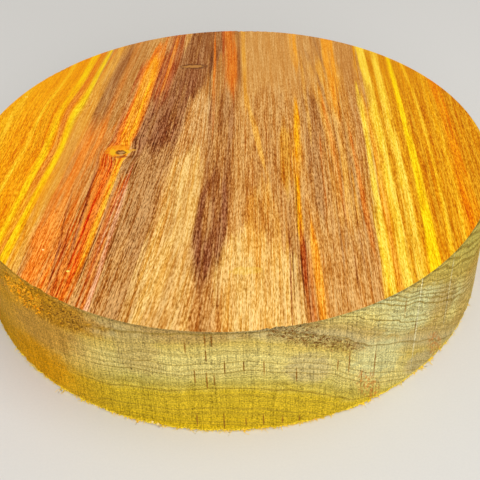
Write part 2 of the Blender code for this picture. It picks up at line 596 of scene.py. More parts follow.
class BowlBlankShape(PropertyGroup):
    """The blank's sizes, and what the saw left on it."""

    radius: FloatProperty(
        name="Radius", description="From the middle to the rim", default=RADIUS,
        min=0.01, unit="LENGTH")
    thickness: FloatProperty(
        name="Thickness", description="From the underside to the planed face",
        default=THICKNESS, min=0.005, unit="LENGTH")
    face_cells: IntProperty(
        name="Face cells", description="Cells across each face; the rim has four times as many",
        default=160, min=8, max=200)
    side_rows: IntProperty(
        name="Side rows", description="Rows of cells down the side", default=52, min=4, max=80)
    planed_edge: FloatProperty(
        name="Planed edge", description="Width of the edge between the planed face and the side",
        default=0.25 * MM, unit="LENGTH")
    sawn_edge: FloatProperty(
        name="Sawn edge", description="Width of the edge between the side and the underside",
        default=0.7 * MM, unit="LENGTH")
    out_of_round: FloatProperty(
        name="Out of round", description="How far the saw strayed in from the circle",
        default=0.5 * MM, unit="LENGTH")
    saw_marks: FloatProperty(
        name="Saw marks", description="Depth of the upright saw marks", default=0.2 * MM,
        unit="LENGTH")
    torn_edge: FloatProperty(
        name="Torn edge", description="How far the lower edge is torn in", default=0.7 * MM,
        unit="LENGTH")
    torn_grain: FloatProperty(
        name="Torn grain", description="How deep the end grain is torn out", default=0.9 * MM,
        unit="LENGTH")
    knot_pit: FloatProperty(
        name="Knot pit", description="Depth of the hollow in the knot", default=0.5 * MM,
        unit="LENGTH")


class BowlBlankFibres(PropertyGroup):
    """The torn fibres of the lower edge, and the flakes of the torn end grain."""

    edge_count: IntProperty(
        name="Edge fibres", description="Places for fibres round the lower edge",
        default=4200, min=1)
    edge_length: FloatProperty(
        name="Edge fibre length", description="Length of the longest of them",
        default=3.4 * MM, unit="LENGTH")
    edge_width: FloatProperty(
        name="Edge fibre width", description="Width where a fibre is rooted",
        default=0.34 * MM, unit="LENGTH")
    flake_density: FloatProperty(
        name="Flake density", description="Flakes per square metre of torn end grain",
        default=0.9e6, min=0.0)
    flake_length: FloatProperty(
        name="Flake length", description="Length of the longest flakes",
        default=1.25 * MM, unit="LENGTH")
    seed: IntProperty(name="Seed", description="Picks other fibres and flakes", default=7)


class BowlBlankStage(PropertyGroup):
    """The floor, the light and the camera."""

    floor_colour: FloatVectorProperty(
        name="Floor", description="Colour of the floor", default=linear("#DEDCD8"), size=3,
        subtype="COLOR", min=0.0, max=1.0)
    room_light: FloatProperty(
        name="Room light", description="Strength of the even light all round", default=0.45)
    key_light: FloatProperty(
        name="Key light", description="Power of the large light overhead, in watts",
        default=9.0)
    fill_light: FloatProperty(
        name="Fill light", description="Power of the light in front, in watts", default=12.5)


def tree_inputs(tree, settings, names):
    """Gives the tree named inputs for these settings, and what each identifier is set to."""
    values = {}
    for name in names:
        about = settings.bl_rna.properties[name]
        made = add_socket(tree, about.name, "Int" if about.type == "INT" else "Float")
        made.default_value = getattr(settings, name)
        values[made.identifier] = getattr(settings, name)
    return values


def grown(name, tree, values, source=None):
    """A plain mesh object, as the tree makes it."""
    holder = bpy.data.objects.new(name, source or bpy.data.meshes.new(name))
    bpy.context.scene.collection.objects.link(holder)
    modifier = holder.modifiers.new("shape", "NODES")
    modifier.node_group = tree
    for identifier, value in values.items():
        modifier[identifier] = value
    graph = bpy.context.evaluated_depsgraph_get()
    mesh = bpy.data.meshes.new_from_object(holder.evaluated_get(graph))
    mesh.name = name
    holder.modifiers.clear()
    holder.data = mesh
    return holder


# The wood's figure

def place_in_mm(s):
    """The place on the blank, in millimetres."""
    place = s.make("ShaderNodeTexCoord", output="Object")
    return s.parts(s.vec("MULTIPLY", place, 1 / MM))


def grain_wave(s, x, y, z, sizes, detail=2.0, **settings):
    """Noise stretched to these sizes, in millimetres."""
    scale = [1 / size for size in sizes]
    return s.noise(s.vec("MULTIPLY", s.vector(x, y, z), scale), detail, **settings)


def centred(noise):
    """The noise, moved so that its middle is 0."""
    return noise - 0.5


def three_stripes():
    """Three stripes along the grain, laid one after another over the colour that comes in.

    Each stripe's numbers are one part of a vector, so that a node works on all three. What
    they share comes in as a vector of three equal parts.
    """
    tree = bpy.data.node_groups.new("Three Stripes", "ShaderNodeTree")
    add_socket(tree, "Base", "Color")
    for name in (
        "Across", "Along", "Row", "Row Squared", "Ragged", "Streaky", "Middle", "Slant", "Bow",
        "Sharpness", "Half Width", "Taper", "Stretch Middle", "Stretch Half", "Run Out",
        "Strength",
    ):
        add_socket(tree, name, "Vector")
    for name in ("First", "Second", "Third"):
        add_socket(tree, name, "Color")
    add_socket(tree, "Colour", "Color", output=True)

    s = Sketch(tree)
    given = s.node("NodeGroupInput")
    base, across, along, row, row_squared, ragged, streaky = (s.wire(given, i) for i in range(7))
    middle, slant, bow, sharp, half, taper = (s.wire(given, i) for i in range(7, 13))
    stretch, reach, run_out, strength = (s.wire(given, i) for i in range(13, 17))

    centre = s.vec("MULTIPLY_ADD", row_squared, bow, s.vec("MULTIPLY_ADD", row, slant, middle))
    off = s.vec("ABSOLUTE", s.vec("SUBTRACT", across, centre))
    past = s.vec("MULTIPLY_ADD", off, sharp, s.vec("MULTIPLY_ADD", row, taper, half))
    gone = s.vec("SUBTRACT", s.vec("ABSOLUTE", s.vec("SUBTRACT", along, stretch)), reach)
    past = s.vec("MULTIPLY_ADD", s.vec("MAXIMUM", gone, 0.0), run_out, past)
    past = s.vec("ADD", past, ragged)
    share = s.smooth_three(past, 0.5, -0.5)
    share = s.vec("MULTIPLY", s.vec("MULTIPLY", share, strength), streaky)
    s.node("NodeGroupOutput", {0: s.paint_three(base, given, 17, share)})
    return tree


def in_threes(rows, filler):
    """The rows, three at a time."""
    rows = list(rows) + [filler] * (-len(rows) % 3)
    return [rows[i : i + 3] for i in range(0, len(rows), 3)]


def stripe_numbers(row):
    """A stripe's parabola, width and stretch, as the group of three wants them."""
    _, (back, middle, front), (half_back, half_front), soft, (start, end), strength = row
    half = (half_back + half_front) / 2
    return (
        middle,
        (back - front) / 2,
        (back + front) / 2 - middle,
        1 / soft,
        -half / soft,
        -(half_back - half_front) / 2 / soft,
        (start + end) / 2,
        (end - start) / 2,
        (half / soft + 0.5) / STRIPE_END,
        strength,
    )


# Sizes of the noise in the wood, in millimetres across the grain, along it and up
WANDER_SIZES = (30, 70, 30)
SWAY_SIZES = (26, 150, 16)
RAGGED_SIZES = (1.6, 60, 1.6)
STREAK_SIZES = (2.6, 34, 2.6)
FIELD_SIZES = (5, 160, 5)

# How far the grain wanders, and how far the rings sway and below what depth, in millimetres
WANDER = 2.0
SWAY = 9.0
SWAY_DEPTH = 10.0

# How ragged the stripes are, which part of the noise makes streaks, and the faintest of them
RAGGED = 2.0
STREAKS = (0.34, 0.58)
FAINTEST_STREAK = 0.35

# The part of a noise in which one colour gives way to another
HALFWAY = (0.38, 0.62)

# Where the inner colours begin and are full, by ring level and by depth
INNER_LEVEL = (1.5, -2.5)
INNER_DEPTH = (0.3, 1.0)


def figure_group(colours):
    """The wood's own colour anywhere in the blank, and where in the grain it is."""
    tree = bpy.data.node_groups.new("Canarywood Figure", "ShaderNodeTree")
    add_socket(tree, "Colour", "Color", output=True)
    for name in ("Across", "Along", "Up", "Ring Level", "Grain Across"):
        add_socket(tree, name, "Float", output=True)

    s = Sketch(tree)
    x, y, z = place_in_mm(s)
    depth = THICKNESS_MM - z

    # The grain parts round the knot, bends a little to its left, and wanders everywhere
    beside, before = x - KNOT[0], y - KNOT[1]
    near = s.smooth(s.abs(before), *PART_ALONG) * s.smooth(s.abs(beside), *PART_ACROSS)
    near = near * s.smooth(depth, *PART_DOWN)
    turn = s.math("MAXIMUM", s.math("MINIMUM", beside / PART_TURN, 1.0), -1.0)
    bend = s.smooth(s.abs(y - BEND_MIDDLE), *BEND_ALONG) * s.smooth(x, *BEND_ACROSS)
    wander = grain_wave(s, x, y, z, WANDER_SIZES, detail=1.0)
    flow = x - near * turn * KNOT_PARTS + bend * BEND + centred(wander) * WANDER

    # The ring that passes here meets the planed face at across
    side = flow - RING_APEX
    change = s.smooth(side, -SLOPE_CHANGE, SLOPE_CHANGE)
    slope = s.blend(RING_SLOPE_LEFT, RING_SLOPE_RIGHT, change)
    rise = slope * (s.math("SQRT", side * side + RING_CROWN**2) - RING_CROWN)
    sway = grain_wave(s, x, y, z, SWAY_SIZES)
    level = rise - depth + centred(sway) * SWAY * s.smooth(depth, 0.0, SWAY_DEPTH)
    up = s.math("MAXIMUM", level, 0.0) / slope + RING_CROWN
    reach = s.math("SQRT", s.math("MAXIMUM", up * up - RING_CROWN**2, 0.0))
    across = RING_APEX + s.math("SIGN", side) * reach

    # Raggedness of the stripes' edges, and how they fade and brighten along the grain
    lean = s.blend(LEAN_LEFT, LEAN_RIGHT, s.smooth(flow, *LEAN_CHANGE))
    grain = flow - y * lean
    ragged = centred(grain_wave(s, grain, y, z, RAGGED_SIZES, detail=2.0)) * RAGGED
    streaky = s.smooth(grain_wave(s, grain, y, z, STREAK_SIZES, detail=3.0), *STREAKS)
    streaky = s.blend(FAINTEST_STREAK, 1.0, streaky)

    broad = grain_wave(s, grain, y, z, FIELD_SIZES)
    colour = s.paint(colours["tan"], colours["fawn"], s.smooth(broad, *HALFWAY))
    # All that the groups share waits for the same noise, so that they are worked out one after
    # another and not side by side, which the renderer has no room for
    row = (y + ragged * EDGE_WAVER) / ROW
    shared = (
        across + ragged * EDGE_WAVER, y + ragged * END_WAVER, row, row * row, ragged, streaky,
    )
    shared = [s.vector(value, value, value) for value in shared]
    stripes = three_stripes()
    for trio in in_threes(STRIPES, NO_STRIPE):
        numbers = zip(*map(stripe_numbers, trio))
        names = [colours[stripe[0]] for stripe in trio]
        colour = s.wire(s.group(stripes, colour, *shared, *numbers, *names))

    deepest = INNER_COLOURS[-1][0]
    stops = [(down / deepest, colours[name]) for down, name in INNER_COLOURS]
    inner = s.ramp(level / -deepest, stops)
    inside = s.smooth(level, *INNER_LEVEL) * s.smooth(depth, *INNER_DEPTH)
    colour = s.paint(colour, inner, inside)
    s.node("NodeGroupOutput", dict(enumerate((colour, across, y, z, level, grain))))
    return tree


def patch_share(s, arc, depth, place, half, fall, rough=None, soft=0.4):
    """1 inside a patch of the side and 0 outside it."""
    along = arc - place[0] * ARC_PER_DEGREE
    down = depth - place[1] - along * fall
    along, down = along / half[0], down / half[1]
    reach = along * along + down * down
    if rough is not None:
        reach = reach + rough
    return s.smooth(reach, 1.0 + soft, 1.0 - soft)


# Behind, where the same grain comes out again, what is drawn on the side is wider, because
# distances round it count for less by this share, and it is shifted by so many millimetres
BEHIND_WIDER = 0.16
BEHIND_SHIFT = 6.0


def round_side(s, x, y):
    """How far round the side this is from the front, in millimetres."""
    behind = s.math("GREATER_THAN", y, 0.0)
    arc = s.math("ARCTAN2", x, s.abs(y)) * RADIUS_MM
    return arc * (1.0 - behind * BEHIND_WIDER) + behind * BEHIND_SHIFT


# Light that the wood's fibres throw back is golden
GOLDEN = (1.0, 0.7, 0.2, 1.0)
PLAIN = (1.0, 1.0, 1.0, 1.0)


def new_material(name, specular, sheen=GOLDEN):
    """A material, a sketch to draw its nodes in, and its shader."""
    made = bpy.data.materials.new(name)
    made.use_nodes = True
    shader = made.node_tree.nodes["Principled BSDF"]
    shader.inputs["Specular IOR Level"].default_value = specular
    shader.inputs["Specular Tint"].default_value = sheen
    return made, Sketch(made.node_tree), shader


def bumped(s, shader, height, strength, distance):
    """Shades the surface as if it stood up by the height, over a distance in millimetres."""
    feeds = {"Strength": strength, "Distance": distance * MM, "Height": height}
    s.feed(shader.inputs["Normal"], s.make("ShaderNodeBump", feeds))


# Marks on the planed face, from the widest to the shortest: their sizes in millimetres across
# the grain, along it and up, and how much each deepens the colour
BROAD_SIZES, BROAD_DEPTH = (2.4, 150, 2.4), 0.6
LINE_SIZES, LINE_DEPTH = (0.85, 60, 0.85), 1.5
THREAD_SIZES, THREAD_DEPTH = (0.38, 12.0, 0.38), 2.2
DASH_SIZES, DASH_DEPTH = (0.32, 1.8, 0.32), 2.1
RING_SPACE, RING_DEPTH = 1.1, 0.5

# Zones of the planed face across the grain: the middle, half the width, and how far they fade
FIGURED = (-24.0, 18.0, 10.0)
EMBER = (-43.5, 6.0, 6.0)
BROWN = (-34.0, 14.0, 8.0)
PLAIN_LEFT = (-58.0, 8.0, 6.0)
PALE_BAND = (-16.0, 5.0, 5.0)

# Where the yellow fields begin and are full, across the grain
YELLOW_LEFT = (-56.0, -66.0)
YELLOW_RIGHT = (50.0, 58.0)

# The stretches of the grain in which the zones lie, likewise along it
BACK = (10.0, 70.0)
EMBER_FRONT = (6.0, -6.0)
PALE_FRONT = (0.0, -20.0)
PLAIN_MIDDLE = (-4.0, 22.0, 24.0)

# How strong the figure is at the back, outside the figured zone and in it, and what the other
# zones take from it or add
BACK_FIGURE = (0.36, 0.62)
YELLOW_CALM = 0.2
BROWN_ROUGH = 0.3
PLAIN_CALM = 0.5
PALE_CALM = 0.2
EMBER_LINES = 2.6

# The power that a colour without a figure is raised to, and the lowest that is used
EVEN_POWER = 1.03
LEAST_POWER = 0.76

# How bright the face is, what threads, dashes and pores add or take, and which dashes are pores
FACE_LIGHT = 1.03
THREAD_LIGHT = 0.8
DASH_LIGHT = 1.8
PORE_SHADE = 0.12
PORES = (0.42, 0.30)

# How rough the face is, and how much rougher threads and pores make it
FACE_ROUGHNESS = 0.5
THREAD_ROUGHNESS = 0.3
PORE_ROUGHNESS = 0.2

# How high threads and dashes stand and how deep pores lie, as shares of the relief, and the
# relief's strength and depth in millimetres
FINE_HEIGHT = 0.5
PORE_HEIGHT = 0.6
FACE_RELIEF = (0.3, 0.1)


def planed_wood(figure_tree, colours):
    """The planed face: bright colours, a satin sheen and fine open pores."""
    made, s, shader = new_material("planed canarywood", specular=0.05)
    figure = s.group(figure_tree)
    colour, _, y, z, level, grain = (s.wire(figure, i) for i in range(6))
    broad = centred(grain_wave(s, grain, y, z, BROAD_SIZES))
    line = centred(grain_wave(s, grain, y, z, LINE_SIZES, detail=3.0))
    thread = grain_wave(s, grain, y, z, THREAD_SIZES)
    dash = grain_wave(s, grain, y, z, DASH_SIZES, detail=3.0, roughness=0.6)
    rings = centred(s.noise(level / RING_SPACE, 3.0, 0.6, noise_dimensions="1D"))
    fine, short = centred(thread), centred(dash)

    # Darker lines of wood are deeper in colour too, which a power of the colour gives. The
    # grain is calmer towards the back, in the yellow wood, in the plain wood at the left and
    # in the pale band, and stronger in the brown wood
    power = broad * BROAD_DEPTH + line * LINE_DEPTH + rings * RING_DEPTH
    power = power - fine * THREAD_DEPTH - short * DASH_DEPTH
    figured = s.blend(*BACK_FIGURE, s.band(grain, *FIGURED))
    figured = s.blend(1.0, figured, s.smooth(y, *BACK))
    yellow = s.smooth(grain, *YELLOW_LEFT) + s.smooth(grain, *YELLOW_RIGHT)
    ember = s.band(grain, *EMBER) * s.smooth(y, *EMBER_FRONT)
    power = power + line * ember * EMBER_LINES
    brown = s.band(grain, *BROWN)
    plain = s.band(grain, *PLAIN_LEFT) * s.band(y, *PLAIN_MIDDLE)
    pale = s.band(grain, *PALE_BAND) * s.smooth(y, *PALE_FRONT)
    rougher = 1.0 - yellow * YELLOW_CALM + brown * BROWN_ROUGH
    figured = figured * (rougher - plain * PLAIN_CALM - pale * PALE_CALM)
    power = s.math("MAXIMUM", EVEN_POWER + power * figured, LEAST_POWER)
    colour = s.make("ShaderNodeGamma", {0: colour, 1: power})
    pores = s.smooth(dash, *PORES) * figured
    # The pale dashes stand partly for paler fibres and partly for painted glints off them
    light = FACE_LIGHT + (fine * THREAD_LIGHT + short * DASH_LIGHT) * figured
    colour = s.scaled(colour, light * (1.0 - pores * PORE_SHADE))

    s.feed(shader.inputs["Base Color"], small_marks(s, colour, colours))
    rough = FACE_ROUGHNESS + fine * THREAD_ROUGHNESS + pores * PORE_ROUGHNESS
    s.feed(shader.inputs["Roughness"], rough)
    height = thread * FINE_HEIGHT + dash * FINE_HEIGHT - pores * PORE_HEIGHT
    bumped(s, shader, height, *FACE_RELIEF)
    return made


def small_marks(s, colour, colours):
    """The knot, a dark eye with a grey middle in bright wood, and the other small marks."""
    x, y, z = place_in_mm(s)
    ragged = centred(grain_wave(s, x, y, z, MARK_SIZES, detail=3.0)) * MARK_RAGGED
    in_the_knot = [
        (name, (KNOT[0] + across, KNOT[1] + along), half, strength)
        for name, (across, along), half, strength in KNOT_MARKS
    ]
    for name, centre, half, strength in (*in_the_knot, *FACE_MARKS):
        across, along = (x - centre[0]) / half[0], (y - centre[1]) / half[1]
        reach = across * across + along * along + ragged
        colour = s.paint(colour, colours[name], s.smooth(reach, *MARK_EDGE) * strength)
    return colour


def three_patches():
    """Three patches of the side, laid one after another over the colour that comes in."""
    tree = bpy.data.node_groups.new("Three Patches", "ShaderNodeTree")
    add_socket(tree, "Base", "Color")
    for name in (
        "Arc", "Depth", "Ragged", "Arc Scale", "Arc Start", "Depth Scale", "Depth Start",
        "Fall", "Soft", "Strength",
    ):
        add_socket(tree, name, "Vector")
    for name in ("First", "Second", "Third"):
        add_socket(tree, name, "Color")
    add_socket(tree, "Colour", "Color", output=True)

    s = Sketch(tree)
    given = s.node("NodeGroupInput")
    base, arc, depth, ragged = (s.wire(given, i) for i in range(4))
    arc_scale, arc_start, depth_scale, depth_start, fall, soft, strength = (
        s.wire(given, i) for i in range(4, 11)
    )
    along = s.vec("MULTIPLY_ADD", arc, arc_scale, arc_start)
    down = s.vec("MULTIPLY_ADD", depth, depth_scale, depth_start)
    down = s.vec("MULTIPLY_ADD", along, fall, down)
    reach = s.vec("MULTIPLY_ADD", along, along, s.vec("MULTIPLY", down, down))
    reach = s.vec("MULTIPLY_ADD", ragged, soft, reach)
    share = s.smooth_three(reach, s.vec("ADD", soft, 1.0), s.vec("SUBTRACT", 1.0, soft))
    share = s.vec("MULTIPLY", share, strength)
    s.node("NodeGroupOutput", {0: s.paint_three(base, given, 11, share)})
    return tree


# What fills up the last group of three
NO_PATCH = ("umber", (500, 0), (1, 1), 0.0, 0.1, 0.0)


def patch_numbers(row):
    """A patch's place and size, as the group of three wants them."""
    _, (degrees, depth), (half_arc, half_depth), fall, soft, strength = row
    return (
        1 / half_arc,
        -degrees * ARC_PER_DEGREE / half_arc,
        1 / half_depth,
        -depth / half_depth,
        -fall * half_arc / half_depth,
        soft,
        strength,
    )


# The softness and strength of the fine checks
CHECK_SOFT = 0.7
CHECK_STRENGTH = 0.9


def check_patch(row):
    """A fine upright check, as a patch."""
    degrees, top, bottom = row
    half = (CHECK_HALF_WIDTH, (bottom - top) / 2)
    return ("check", (degrees, (top + bottom) / 2), half, 0.0, CHECK_SOFT, CHECK_STRENGTH)


# Marks on the sawn wood: their sizes in millimetres across the blank, along the grain and up
FUR_SIZES = (0.55, 0.55, 0.55)
BLOTCH_SIZES = (4, 4, 3)
RIPPLE_SIZES = (7.0, 7.0, 5.0)
SCRATCH_SIZES = (0.4, 0.4, 16)
WIDE_SAW_SIZES = (4.5, 4.5, 200)
TORN_SIZES = (1.1, 1.1, 0.7)
CLUMP_SIZES = (2.6, 2.6, 1.7)
RUST_SIZES = (1.0, 1.0, 1.5)

# How ragged blotches and fur make the edges of the patches, and how far blotches shift the
# rings' colours, in millimetres
BLOTCH_RAGGED = 3.0
FUR_RAGGED = 0.8
BLOTCH_SHIFT = 5.0

# Where side grain gives way to end grain, and how dull side grain is
END_GRAIN = (RADIUS_MM * 0.22, RADIUS_MM * 0.48)
DULLNESS = 0.5

# Where the side is golden at the left, from where to where its growth lines fade there and to
# what, and from where to where painted shade darkens its far left and to what share, all across
# the blank
GOLDEN_LEFT, GOLDEN_STRENGTH = (-34.0, -72.0), 0.8
FAINT_LEFT, FAINT_LINES = (-40.0, -64.0), 0.45
PAINTED_SHADE_LEFT, PAINTED_SHADE_SHARE = (-72.0, -90.0), 0.88

# How far growth lines ripple, and the least of it, with the levels between which it grows
RIPPLE = 4.4
LEAST_RIPPLE = 0.25
RIPPLE_LEVELS = (-12.0, 18.0)

# Fine growth lines: their space, which part of the noise makes them, their strength elsewhere
# and at the levels where they are plainest, and those levels
FINE_SPACE = 1.2
FINE_LINES = (0.52, 0.34)
FINE_STRENGTH = (0.36, 0.62)
PLAINEST_ABOVE = (-28.0, -16.0)
PLAINEST_BELOW = (14.0, -2.0)

# The shares of its half width within which a group of growth lines is full and fades away,
# and the darkest that any line gets
GROUP_FULL = 0.6
GROUP_FADE = 0.8
DARKEST_LINE = 0.85

# How bright the side is, and how much each kind of mark changes that
SIDE_LIGHT = 1.05
FUR_LIGHT = 2.8
SCRATCH_LIGHT = 1.2
WIDE_SAW_LIGHT = 0.25
BLOTCH_LIGHT = 0.4

# The side darkens to this share just below the planed face, within these depths
RIM_SHADE = 0.68
RIM_DEPTH = (0.1, 1.3)

# The torn patches: how ragged and how soft their edges are, and how much darker and how
# golden the one at the left is
TORN_ROUGH = 0.6
TORN_SOFT = 0.8
TORN_SHADE = 0.12
TORN_GOLDEN = 0.7

# Which parts of the torn noise are holes, the sparser holes at the left, and bright torn ends
HOLES = (0.54, 0.42)
SPARSE_HOLES = (0.49, 0.40)
BRIGHT_ENDS = (0.48, 0.60)

# Which parts of their noises are clumps of golden ends and specks of rust, how dark the
# holes in a clump still are, how golden its dullest part is, and how strong the rust is
CLUMPS = (0.46, 0.56)
SPECKS = (0.44, 0.60)
CLUMP_HOLES = 0.3
CLUMP_LEAST = 0.45
RUST = 0.75

# The fringe of loose fibres: the heights between which it thins out, which part of the fur
# shows it, how far blotches wave its edge, and how pale it is
FRINGE_HEIGHT = (2.2, 0.5)
FRINGE_FUR = (0.36, 0.52)
FRINGE_WAVE = 3.0
FRINGE = 0.95

# How rough sawn wood is, and how much its fur changes that
SAWN_ROUGHNESS = 0.82
FUR_ROUGHNESS = 0.3

# How high scratches, fur and torn ends stand, and the strength and depth of that relief, the
# depth in millimetres
SCRATCH_HEIGHT = 0.8
FUR_HEIGHT = 0.7
TORN_ENDS_HEIGHT = 1.6
SIDE_RELIEF = (0.6, 0.45)


def sawn_side(figure_tree, colours):
    """The sawn side: end grain in front and behind, side grain at the left and right."""
    made, s, shader = new_material("sawn canarywood", specular=0.02)
    figure = s.group(figure_tree)
    colour, _, y, z, level, grain = (s.wire(figure, i) for i in range(6))
    x, _, _ = place_in_mm(s)
    depth = THICKNESS_MM - z
    arc = round_side(s, x, y)
    fur = grain_wave(s, x, y, z, FUR_SIZES, detail=2.0, roughness=0.7)
    blotch = grain_wave(s, x, y, z, BLOTCH_SIZES, detail=3.0)
    tuft, cloud = centred(fur), centred(blotch)
    ragged = cloud * BLOTCH_RAGGED + tuft * FUR_RAGGED

    # End grain shows the rings, and side grain the stripes
    stops = [((at + RING_RANGE) / (2 * RING_RANGE), colours[name]) for at, name in RING_COLOURS]
    rings = s.ramp((level + cloud * BLOTCH_SHIFT + RING_RANGE) / (2 * RING_RANGE), stops)
    dull = s.paint(colour, colours["drab"], DULLNESS)
    end = s.smooth(s.abs(y), *END_GRAIN)
    colour = s.paint(dull, rings, end)
    golden = s.smooth(x, *GOLDEN_LEFT) * GOLDEN_STRENGTH
    colour = s.paint(colour, colours["brass"], golden)
    shared = [s.vector(value, value, value) for value in (arc, depth, ragged)]
    patches = three_patches()
    for trio in in_threes(PATCHES + tuple(map(check_patch, CHECKS)), NO_PATCH):
        numbers = zip(*map(patch_numbers, trio))
        names = [colours[patch[0]] for patch in trio]
        colour = s.wire(s.group(patches, colour, *shared, *numbers, *names))

    # Growth lines: the plainest, those in groups, and fine ones all over
    ripple = centred(grain_wave(s, x, y, z, RIPPLE_SIZES, detail=3.0, roughness=0.45)) * RIPPLE
    waved = level + ripple * s.blend(LEAST_RIPPLE, 1.0, s.smooth(level, *RIPPLE_LEVELS))
    stops = [
        (0.5 + (at + way * half) / (2 * RING_RANGE), [strength * (way == 0)] * 3 + [1.0])
        for at, half, strength in GROWTH_LINES for way in (-1, 0, 1)
    ]
    plain = s.ramp(waved / (2 * RING_RANGE) + 0.5, stops)
    fine = s.noise(waved / FINE_SPACE, 3.0, 0.6, noise_dimensions="1D")
    plainest = s.smooth(level, *PLAINEST_ABOVE) * s.smooth(level, *PLAINEST_BELOW)
    lines = s.smooth(fine, *FINE_LINES) * s.blend(*FINE_STRENGTH, plainest)
    for middle, half, space, strength in RING_GROUPS:
        wave = s.math("COSINE", (waved - middle) * (math.tau / space))
        group = s.band(level, middle, half * GROUP_FULL, half * GROUP_FADE)
        lines = lines + s.smooth(wave, 0.0, 1.0) * group * strength
    lines = (lines + plain) * end * s.blend(1.0, FAINT_LINES, s.smooth(x, *FAINT_LEFT))
    lines = s.math("MINIMUM", lines, DARKEST_LINE)
    colour = s.paint(colour, colours["moss"], lines)

    # The saw's scratches, and the shade just below the planed face
    scratch = grain_wave(s, x, y, z, SCRATCH_SIZES, detail=2.0)
    wide_saw = grain_wave(s, x, y, z, WIDE_SAW_SIZES, detail=1.0)
    light = SIDE_LIGHT + tuft * FUR_LIGHT + centred(scratch) * SCRATCH_LIGHT
    light = light + centred(wide_saw) * WIDE_SAW_LIGHT + cloud * BLOTCH_LIGHT
    light = light * s.blend(RIM_SHADE, 1.0, s.smooth(depth, *RIM_DEPTH))

    # Torn grain: holes darkened with painted shade between bright torn ends
    left, right, top, gold, *rusty = (
        patch_share(s, arc, depth, place, half, fall, ragged * TORN_ROUGH, TORN_SOFT)
        for place, half, fall in (*TORN, TORN_GOLD, *STAINS)
    )
    torn_noise = grain_wave(s, x, y, z, TORN_SIZES, detail=4.0, roughness=0.8)
    hole = s.smooth(torn_noise, *HOLES)
    sparse = s.smooth(torn_noise, *SPARSE_HOLES)
    bright = s.smooth(torn_noise, *BRIGHT_ENDS)
    right_or_top = s.math("MAXIMUM", right, top)
    torn = s.math("MAXIMUM", left, right_or_top)
    light = light * (1.0 - left * TORN_SHADE)
    # Painted shade darkens the far left of the side, which the lamps reach least
    light = light * s.blend(1.0, PAINTED_SHADE_SHARE, s.smooth(x, *PAINTED_SHADE_LEFT))
    clumps = s.smooth(grain_wave(s, x, y, z, CLUMP_SIZES, detail=2.0), *CLUMPS) * gold
    colour = s.paint(colour, colours["brass"], left * TORN_GOLDEN)
    # Painted shade fills the holes of the torn patches at the right and top
    colour = s.paint(colour, colours["soot"], hole * right_or_top)
    sparse = sparse * left * s.blend(1.0, CLUMP_HOLES, clumps)
    # The sparser holes at the left get the same painted shade
    colour = s.paint(colour, colours["soot"], sparse)
    colour = s.paint(colour, colours["gilt"], s.blend(CLUMP_LEAST, 1.0, bright) * clumps)
    specks = s.smooth(grain_wave(s, x, y, z, RUST_SIZES, detail=3.0), *SPECKS)
    colour = s.paint(colour, colours["stain"], s.math("MAXIMUM", *rusty) * specks * RUST)

    # Loose fibres whiten the lowest edge
    fringe = s.smooth(z + cloud * FRINGE_WAVE, *FRINGE_HEIGHT) * s.smooth(fur, *FRINGE_FUR)
    colour = s.paint(colour, colours["fibre"], fringe * FRINGE)
    s.feed(shader.inputs["Base Color"], s.scaled(colour, light))
    s.feed(shader.inputs["Roughness"], SAWN_ROUGHNESS + tuft * FUR_ROUGHNESS)
    height = scratch * SCRATCH_HEIGHT + fur * FUR_HEIGHT
    height = height + torn_noise * torn * TORN_ENDS_HEIGHT
    bumped(s, shader, height, *SIDE_RELIEF)
    return made


# The same for the underside: its grain, the sawmill's marks across it and its fur
ROUGH_GRAIN_SIZES = (1.0, 50, 1.0)
SAWMILL_SIZES = (200, 1.8, 200)
COARSE_FUR_SIZES = (0.6, 0.6, 0.6)

# How much its grain deepens the colour, how dull it is, how much marks and fur change its
# light, how high the fur stands, and the strength and depth of its relief
ROUGH_GRAIN_DEPTH = 1.4
ROUGH_DULLNESS = 0.4
ROUGH_LIGHT = 0.4
COARSE_FUR_HEIGHT = 0.4
ROUGH_RELIEF = (0.6, 0.5)


def sawn_underside(figure_tree, colours):
    """The underside, as the sawmill left it: dull, with straight saw marks across the grain."""
    made, s, shader = new_material("rough sawn canarywood", specular=0.15)
    figure = s.group(figure_tree)
    colour, _, y, z, level, grain = (s.wire(figure, i) for i in range(6))
    x, _, _ = place_in_mm(s)
    line = centred(grain_wave(s, grain, y, z, ROUGH_GRAIN_SIZES, detail=3.0))
    colour = s.make("ShaderNodeGamma", {0: colour, 1: 1.0 + line * ROUGH_GRAIN_DEPTH})
    colour = s.paint(colour, colours["drab"], ROUGH_DULLNESS)
    sawn = grain_wave(s, x, y, z, SAWMILL_SIZES, detail=1.0)
    fur = grain_wave(s, x, y, z, COARSE_FUR_SIZES, detail=3.0, roughness=0.7)
    tuft = centred(fur)
    colour = s.scaled(colour, 1.0 + centred(sawn) * ROUGH_LIGHT + tuft * ROUGH_LIGHT)
    s.feed(shader.inputs["Base Color"], colour)
    s.feed(shader.inputs["Roughness"], SAWN_ROUGHNESS + tuft * FUR_ROUGHNESS)
    bumped(s, shader, sawn + fur * COARSE_FUR_HEIGHT, *ROUGH_RELIEF)
    return made


def torn_wood(name, pale, deep, size):
    """Fibres, flakes or crumbs: two colours that change from one to the next."""
    made, s, shader = new_material(name, specular=0.2)
    x, y, z = place_in_mm(s)
    noise = grain_wave(s, x, y, z, (size,) * 3, detail=2.0, roughness=0.6)
    s.feed(shader.inputs["Base Color"], s.paint(pale, deep, s.smooth(noise, *HALFWAY)))
    s.feed(shader.inputs["Roughness"], 0.6 + noise * 0.3)
    return made


# The blank

# Where each part lies on its own texture map, out of 1
MAP = "OFBake"
PLANED_MAP = (0.337, 0.663, 0.330)
UNDER_MAP = (0.832, 0.832, 0.162)
SIDE_MAP_HEIGHT = 0.158
SIDE_MAP_MARGIN = 0.004

